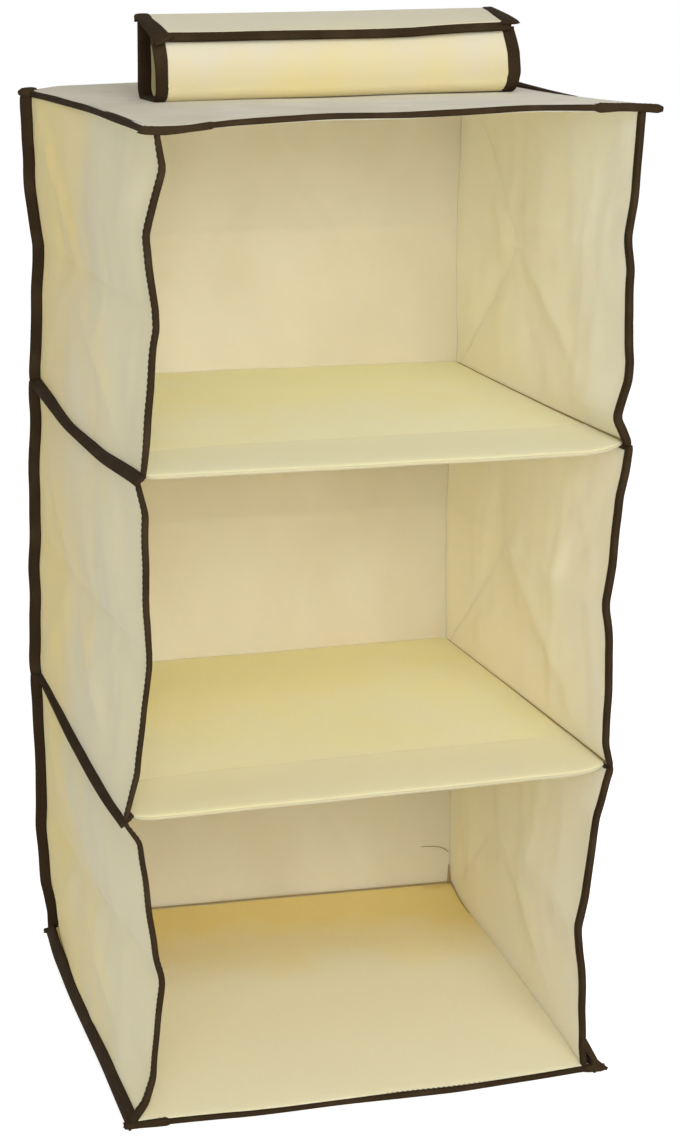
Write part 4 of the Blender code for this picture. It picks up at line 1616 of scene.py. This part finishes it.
# %% Sizes of the strap
cradle_low, cradle_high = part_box("strap_cradle")
STRAP_LEFT, STRAP_RIGHT = cradle_low.x, cradle_high.x
flap_axis = joint_place["flap_open"]
wing_axis = joint_place["wing_open"]
CRADLE_Z = cradle_low.z - 0.0002
LEG_Y = flap_axis.y
STRAP_CLOTH = 0.0015
STRAP_TAPE = 0.0092
LEG_ROUND = 0.008
LEG_BULGE = 0.0022
LEG_PERK = 0.0020  # the front leg's right end stands higher
LEG_FREE_FROM, LEG_FREE_REACH = 0.004, 0.012  # the legs are uneven from this high above the floor
FLAP_FALL = flap_axis.z - wing_axis.z - 0.0042
STRAP_SLOPE = math.atan2(FLAP_FALL, flap_axis.y - wing_axis.y)
print("strap from", round(STRAP_LEFT, 3), "to", round(STRAP_RIGHT, 3))


# %% The cradle
STRAP_DENT, STRAP_RUMPLE = 1.1 * MM, 0.15 * MM
CLOTH_INSET = 0.0004  # the cloth's ends lie this far inside the strap's tapes
RIGHT_END = (  # (share of the front leg's height, mm) that its right end stands out
    (0, 0.5), (0.1, 1.5), (0.31, 2.25), (0.52, 0.8), (0.65, 0.2), (0.78, -1.0), (1, -3.2),
)


def cradle_path(points_on_leg=14):
    """(y, z) from the rear leg's top, round the floor, to the front leg's top, in the cloth's middle."""
    reach = LEG_Y - STRAP_CLOTH / 2
    floor_z = CRADLE_Z + STRAP_CLOTH / 2
    path = [(reach, z) for z in np.linspace(flap_axis.z - 0.0007, floor_z + LEG_ROUND, points_on_leg)]
    round_z = floor_z + LEG_ROUND
    for start, centre_y in ((0, reach - LEG_ROUND), (-90, LEG_ROUND - reach)):
        for angle in np.radians(np.linspace(start, start - 90, 9)[1:]):
            path.append((centre_y + LEG_ROUND * math.cos(angle), round_z + LEG_ROUND * math.sin(angle)))
    rise = np.linspace(floor_z + LEG_ROUND, wing_axis.z - 0.0003, points_on_leg)
    share = (rise - rise[0]) / (rise[-1] - rise[0])
    path += [(-reach - LEG_BULGE * math.sin(math.pi * s) ** 0.8, z) for s, z in zip(share[1:], rise[1:])]
    return np.array(path)


def cradle_points(x, y, z):
    """The cradle's legs with fine unevenness, and the ends of its front leg pushed outwards."""
    share = (x - STRAP_LEFT) / (STRAP_RIGHT - STRAP_LEFT)
    up = np.clip((z - CRADLE_Z) / (wing_axis.z - CRADLE_Z), 0, 1)
    free = np.clip((z - CRADLE_Z - LEG_FREE_FROM) / LEG_FREE_REACH, 0, 1)
    seed = np.stack([x, y, z], axis=1)
    push = free * (STRAP_DENT * waves(seed, DENTS) + STRAP_RUMPLE * waves(seed, RUMPLES))
    new_y = y + np.sign(y) * push
    ahead = np.clip(-y / LEG_Y, -1, 1)
    right_bulge = np.where(ahead > 0, np.interp(up, *zip(*RIGHT_END)), 0) * MM
    front_left = -0.7 + 3.4 * np.clip(1.25 * (1 - up), 0, 1) ** 0.7
    left_bulge = (2.5 + (front_left - 2.5) * np.clip(0.5 + 1.2 * ahead, 0, 1)) * MM
    new_z = z + LEG_PERK * np.clip((share - 0.7) / 0.3, 0, 1) * up * np.clip(2 * ahead, 0, 1)
    return np.stack([x + right_bulge * share ** 8 + left_bulge * (1 - share) ** 8, new_y, new_z], axis=1)


def strap_cradle():
    loop = cradle_path()
    across = np.linspace(STRAP_LEFT + CLOTH_INSET, STRAP_RIGHT - CLOTH_INSET, 61)
    points = hang(cradle_points(*spread(loop, across))).reshape(len(loop), len(across), 3)
    girth = float(np.linalg.norm(np.diff(loop, axis=0), axis=1).sum())
    obj = grid_object("strap_body", points, (STRAP_RIGHT - STRAP_LEFT, girth), strap_cloth)
    thicken(obj, STRAP_CLOTH)
    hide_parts("strap_cradle")
    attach(obj, "top_panel")
    return obj


strap_cradle()
END_TAPE = {"width": STRAP_TAPE, "fullness": 0.0034, "step": 0.0018, "flare": (1.03, 0.88)}
END_PASS = (0.0024, 0.0022)  # the end tapes run past the cloth on the rear leg and on the front leg
END_OUT = 0.0006


def cradle_end_tape(side):
    """The tape round one end of the cradle, down the rear leg, under and up the front leg."""
    loop = cradle_path()
    x = {"left": STRAP_LEFT, "right": STRAP_RIGHT}[side]
    sign = SIDES[side]
    loop = np.vstack([loop[:1] + (0.0, END_PASS[0]), loop, loop[-1:] + (0.0, END_PASS[1])])
    path = cradle_points(np.full(len(loop), x), loop[:, 0], loop[:, 1])
    path[:, 0] += sign * END_OUT
    inward = np.tile((-sign, 0.0, 0.0), (len(path), 1))
    seed = 301 + (side == "right")
    obj, lines = folded_tape(f"strap_{side}_end_binding", path, inward, seed=seed, **END_TAPE)
    return sew_on(obj, lines, 31, lambda piece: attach(piece, "top_panel"))


cradle_tapes = [cradle_end_tape(side) for side in SIDES]
print("cradle tapes", len(cradle_tapes))

# %% [markdown]
# ## The flap
#
# The flap is the leaf over the tunnel. It slopes down to the front, sags a little in the
# middle and ends just past the front leg. Its tape runs up one end, along the front and
# back up the other. At the left the tape is mitred, and at the right its end was left
# long and stands out as a small sharp tip.

# %% The flap
FLAP_LENGTH = 0.0485
LEAF_LENGTH = FLAP_LENGTH - 0.002  # the leaf ends inside its front tape
FLAP_LIFT = 0.0035
FLAP_SAG = 0.0010
FLAP_DROP, FLAP_NOSE = 0.0013, 0.0012  # how far it hangs below a plane, evenly and at its front edge
FLAP_DENT = 0.5 * MM
FLAP_TAPE = {"fullness": 0.0032, "roll": 1.5, "step": 0.002}
TAPE_START = -0.0040  # its end tapes start this far down the rear leg
FLAP_SKEW = 0.0016  # how far the left end runs inwards from its rear to its front corner
FLAP_CURL = 0.0008  # the rear left corner stands up
FLAP_PERK = 0.0020  # the front right corner stands up too
FLAP_LAP = 0.0100  # the leaf starts this far down the rear leg, where it is sewn on
LAP_Y = LEG_Y + 0.0004
DROOP = math.radians(58)  # the front tape hangs down from the leaf's edge
FRONT_AWAY = (0.0, -math.cos(DROOP), -math.sin(DROOP))
# A darker copy of the strap cloth for the flap's upper face: painted shade.
strap_top_cloth = nonwoven("strap_top_cloth", (0.650, 0.600, 0.425), (0.680, 0.610, 0.395), balance=0.4)


def flap_points(x, run):
    """Points on the flap. run goes from the rear hinge to the front edge, and is below 0 down the leg."""
    lap, run = np.clip(-run / FLAP_LAP, 0, 1), np.maximum(run, 0)
    share = run / FLAP_LENGTH
    across = (x - STRAP_LEFT) / (STRAP_RIGHT - STRAP_LEFT)
    y = flap_axis.y - run * math.cos(STRAP_SLOPE)
    y = y + (LAP_Y - flap_axis.y) * np.sqrt(np.clip(lap * 5, 0, 1))
    z = flap_axis.z + FLAP_LIFT - run * math.sin(STRAP_SLOPE) - lap * FLAP_LAP
    z = z - FLAP_SAG * bow(across) * share - FLAP_NOSE * share ** 4 - FLAP_DROP * share
    z = z + FLAP_CURL * np.clip(1 - across, 0, 1) ** 4 * (1 - share)
    z = z + FLAP_PERK * np.clip((across - 0.7) / 0.3, 0, 1) * share
    seed = np.stack([x, y, np.full_like(x, 2.3)], axis=1)
    z = z + FLAP_DENT * waves(seed, DENTS) * np.clip(share * 2, 0, 1)
    skewed = x + (0.001 + FLAP_SKEW * share) * np.clip(1 - across, 0, 1) ** 3
    return np.stack([skewed, y, z], axis=1)


def bend_at_leg(piece):
    """Bakes a piece of the flap's place into its mesh. It works out the two ends of the line where the flap
    is sewn to the rear leg, but doesn't use them.
    """
    start = hang_point(0, LEG_Y + 0.0010, flap_axis.z - 0.0060)
    end = hang_point(0, LEG_Y - 0.0060, flap_axis.z + FLAP_LIFT)
    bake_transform(piece)


def strap_flap():
    def place(across, down):
        run = down * (LEAF_LENGTH + FLAP_LAP) - FLAP_LAP
        ahead = np.clip(run / LEAF_LENGTH, 0, 1)
        left, right = STRAP_LEFT + STRAP_TAPE - 0.0026, STRAP_RIGHT - 0.0030 - 0.0060 * ahead
        return flap_points(left + across * (right - left), run)

    flat = (STRAP_RIGHT - STRAP_LEFT, FLAP_LENGTH + FLAP_LAP)
    obj = cloth_sheet("strap_flap_leaf", 61, 31, place, flat, strap_top_cloth, STRAP_CLOTH)
    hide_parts("strap_flap")
    bend_at_leg(obj)
    return obj


def flap_tape(label, corners, away, width, flare=(1, 1), **form):
    """Tape on one edge of the flap, its lips through (x, run) corners. away turns from start to end."""
    flat = respaced([(x, run, 0) for x, run in corners], FLAP_TAPE["step"])
    first, last = np.array(away, float)
    away = unit(np.linspace(first, last, len(flat)))
    path = flap_points(flat[:, 0], flat[:, 1]) + away * width * np.linspace(*flare, len(flat))[:, None]
    form = {**FLAP_TAPE, "width": width, "flare": flare, **form}
    return folded_tape(f"strap_flap_binding_{label}", path, -away, **form)


strap_flap()
lip_left, lip_right = STRAP_LEFT + STRAP_TAPE - 0.0006, STRAP_RIGHT - 0.0066
front_run = FLAP_LENGTH - 0.0030
end_run = FLAP_LENGTH + 0.0010
knob_x = lip_left - STRAP_TAPE + 0.001
flap_runs = [
    flap_tape("left", ((lip_left, TAPE_START), (lip_left, end_run)),
              ((-1.0, 0.0, 0.0), (-0.86, -0.05, -0.50)), STRAP_TAPE, flare=(1, 1.35), seed=311),
    flap_tape("front", ((lip_left - 0.004, front_run), (STRAP_RIGHT - 0.006, front_run)),
              (FRONT_AWAY, FRONT_AWAY), 0.0060, seed=312),
    flap_tape("right", ((lip_right, TAPE_START), (lip_right - 0.0068, end_run)),
              ((1.0, 0.0, 0.0), (1.0, 0.0, 0.0)), 0.0068, flare=(1, 1.85), ends=(0.6, 0.15), seed=313),
    flap_tape("knob", ((knob_x, 0.0030), (knob_x, 0.0075)),
              ((-1.0, 0.0, -0.3), (-1.0, 0.0, -0.3)), 0.0024, seed=314),
]
flap_binding = joined([obj for obj, lines in flap_runs], "strap_flap_binding")
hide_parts("strap_flap_tape")
flap_lines = [line for obj, lines in flap_runs[1:3] for line in lines]
sew_on(flap_binding, flap_lines, 33, bend_at_leg)
print("flap", len(flap_binding.data.polygons))

# %% [markdown]
# ## The wing and the hook and loop tape
#
# The wing is a short leaf on the front leg's top, inside under the flap. The hook half is
# sewn under the flap and the loop half on the wing. They touch without gripping here.

# %% The wing and the closure
wing_low, wing_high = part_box("strap_wing")
WING_CLOTH = 0.0011
LEAF_SLOPE = math.radians(7)


def leaf_object(name, low, high, thickness, material, body, node, slot_name):
    """A thin sloping leaf in the place of a flat node of the strap."""
    def place(across, down):
        x = low.x + across * (high.x - low.x)
        y = low.y + down * (high.y - low.y)
        rise = math.tan(LEAF_SLOPE) * (y - low.y)
        return np.stack([x, y, low.z + thickness / 2 + rise], axis=1)

    flat = (high.x - low.x, (high.y - low.y) / math.cos(LEAF_SLOPE))
    obj = cloth_sheet(name, 41, 9, place, flat, material, thickness)
    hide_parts(node)
    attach(obj, body)
    return obj


wing_start = Vector((lip_left + 0.0020, wing_low.y, wing_low.z))
wing_leaf = leaf_object("strap_wing_leaf", wing_start, wing_high, WING_CLOTH, strap_cloth, "strap_wing",
                        "strap_wing", "cream_fabric")
for half, body in (("loop", "strap_wing"), ("hook", "strap_flap")):
    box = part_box(f"strap_{half}_tape")
    leaf_object(f"strap_{half}_strip", *box, 0.0009, closure, body, f"strap_{half}_tape", "closure_tape")
print("wing and closure done")

# %% [markdown]
# ## Loose threads
#
# Nobody trimmed the bottom compartment. A thread end hangs in a flat arc from the seam in its rear right
# corner, a short dark wedge is drawn just below it, and a second end lies on the floor beside the wall. Each
# is a thin tube through a few points on the cloth. The thread ends are cream, but are coloured brown as they
# look in the compartment's shade: painted shade.

# %% Loose threads
UPWARDS = (0.0, 0.1, 1.0)
SMOOTHINGS = 6
THREAD_STEP = 0.0008


def thread(name, stops, radii, material, body, across=(0.2, 1.0, 0.3)):
    """A thin round tube through points on the ideal shelf, from one radius to another."""
    path = hang(respaced(stops, THREAD_STEP))
    for _ in range(SMOOTHINGS):
        path[1:-1] = (path[:-2] + path[1:-1] + path[2:]) / 3
    lips, through = path_frames(path, np.tile(across, (len(path), 1)))
    turn = np.linspace(0, 2 * math.pi, 7)[:-1]
    ring = lips[:, None] * np.cos(turn)[:, None] + through[:, None] * np.sin(turn)[:, None]
    rings = path[:, None] + ring * np.linspace(*radii, len(path))[:, None, None]
    obj = tube_object(name, rings, 0.02, 0.001, material)
    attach(obj, body)
    return obj


def on_floor(x, y, above=0.0004):
    """Ideal points on the bottom panel's upper cloth."""
    x, y = np.asarray(x, float), np.asarray(y, float)
    return panel_shape(3, x, y, PANEL_HALF + cloth_rise(3, x, y) + above)


arc_across = np.array([0.9237, 0.9440, 0.9652, 0.9858, 0.9953])
arc_down = np.array([0.8050, 0.8046, 0.8075, 0.8190, 0.8360])
in_front = np.array([0, -0.0011, 0])
arc = back_points(2, arc_across, arc_down) + in_front
# A short dark wedge down the rear right corner, just below the arc.
dark_wedge = back_points(2, np.array([0.9955, 0.9945]), np.array([0.885, 0.962])) + in_front
trail = on_floor((0.1480, 0.1478, 0.1470, 0.1466, 0.1472), (0.1150, 0.1080, 0.0950, 0.0780, 0.0700))
thread("loose_thread_arc", arc, (0.00020, 0.00034), loose_thread, "bottom_back_lower")
thread("corner_tuft", dark_wedge, (0.0003, 0.0014), seam_thread, "bottom_back_lower")
thread("loose_thread_on_floor", trail, (0.0004, 0.0002), loose_thread, "bottom_panel", across=UPWARDS)

# %% [markdown]
# A thin brown line is drawn where a shelf meets the right wall, and where the bottom panel meets the back
# wall.

# %% Seam lines inside
def seam_line(panel_index):
    """The line along a shelf's right seam, on the wall above it."""
    y = np.linspace(WALL_FRONT + 0.006, CORNER_Y - 0.004, 40)
    z = np.full_like(y, PANEL_Z[panel_index] + PANEL_HALF * 0.75)
    points = wall_points(panel_index - 1, "right", y, z) - np.array((0.0006, 0, 0))
    name, body = f"{PANELS[panel_index]}_seam_line", PANEL_BODIES[panel_index]
    return thread(name, points, (0.00050, 0.00036), seam_thread, body, across=UPWARDS)


for panel_index in (1, 2):
    seam_line(panel_index)
x = np.linspace(-PANEL_X + 0.004, PANEL_X - 0.002, 90)
rear_line = on_floor(x, np.full_like(x, CORNER_Y - 0.0017), above=0.0)
thread("bottom_seam_line", rear_line, (0.00050, 0.00050), seam_thread, "bottom_panel", across=UPWARDS)
print("seam lines", 3)
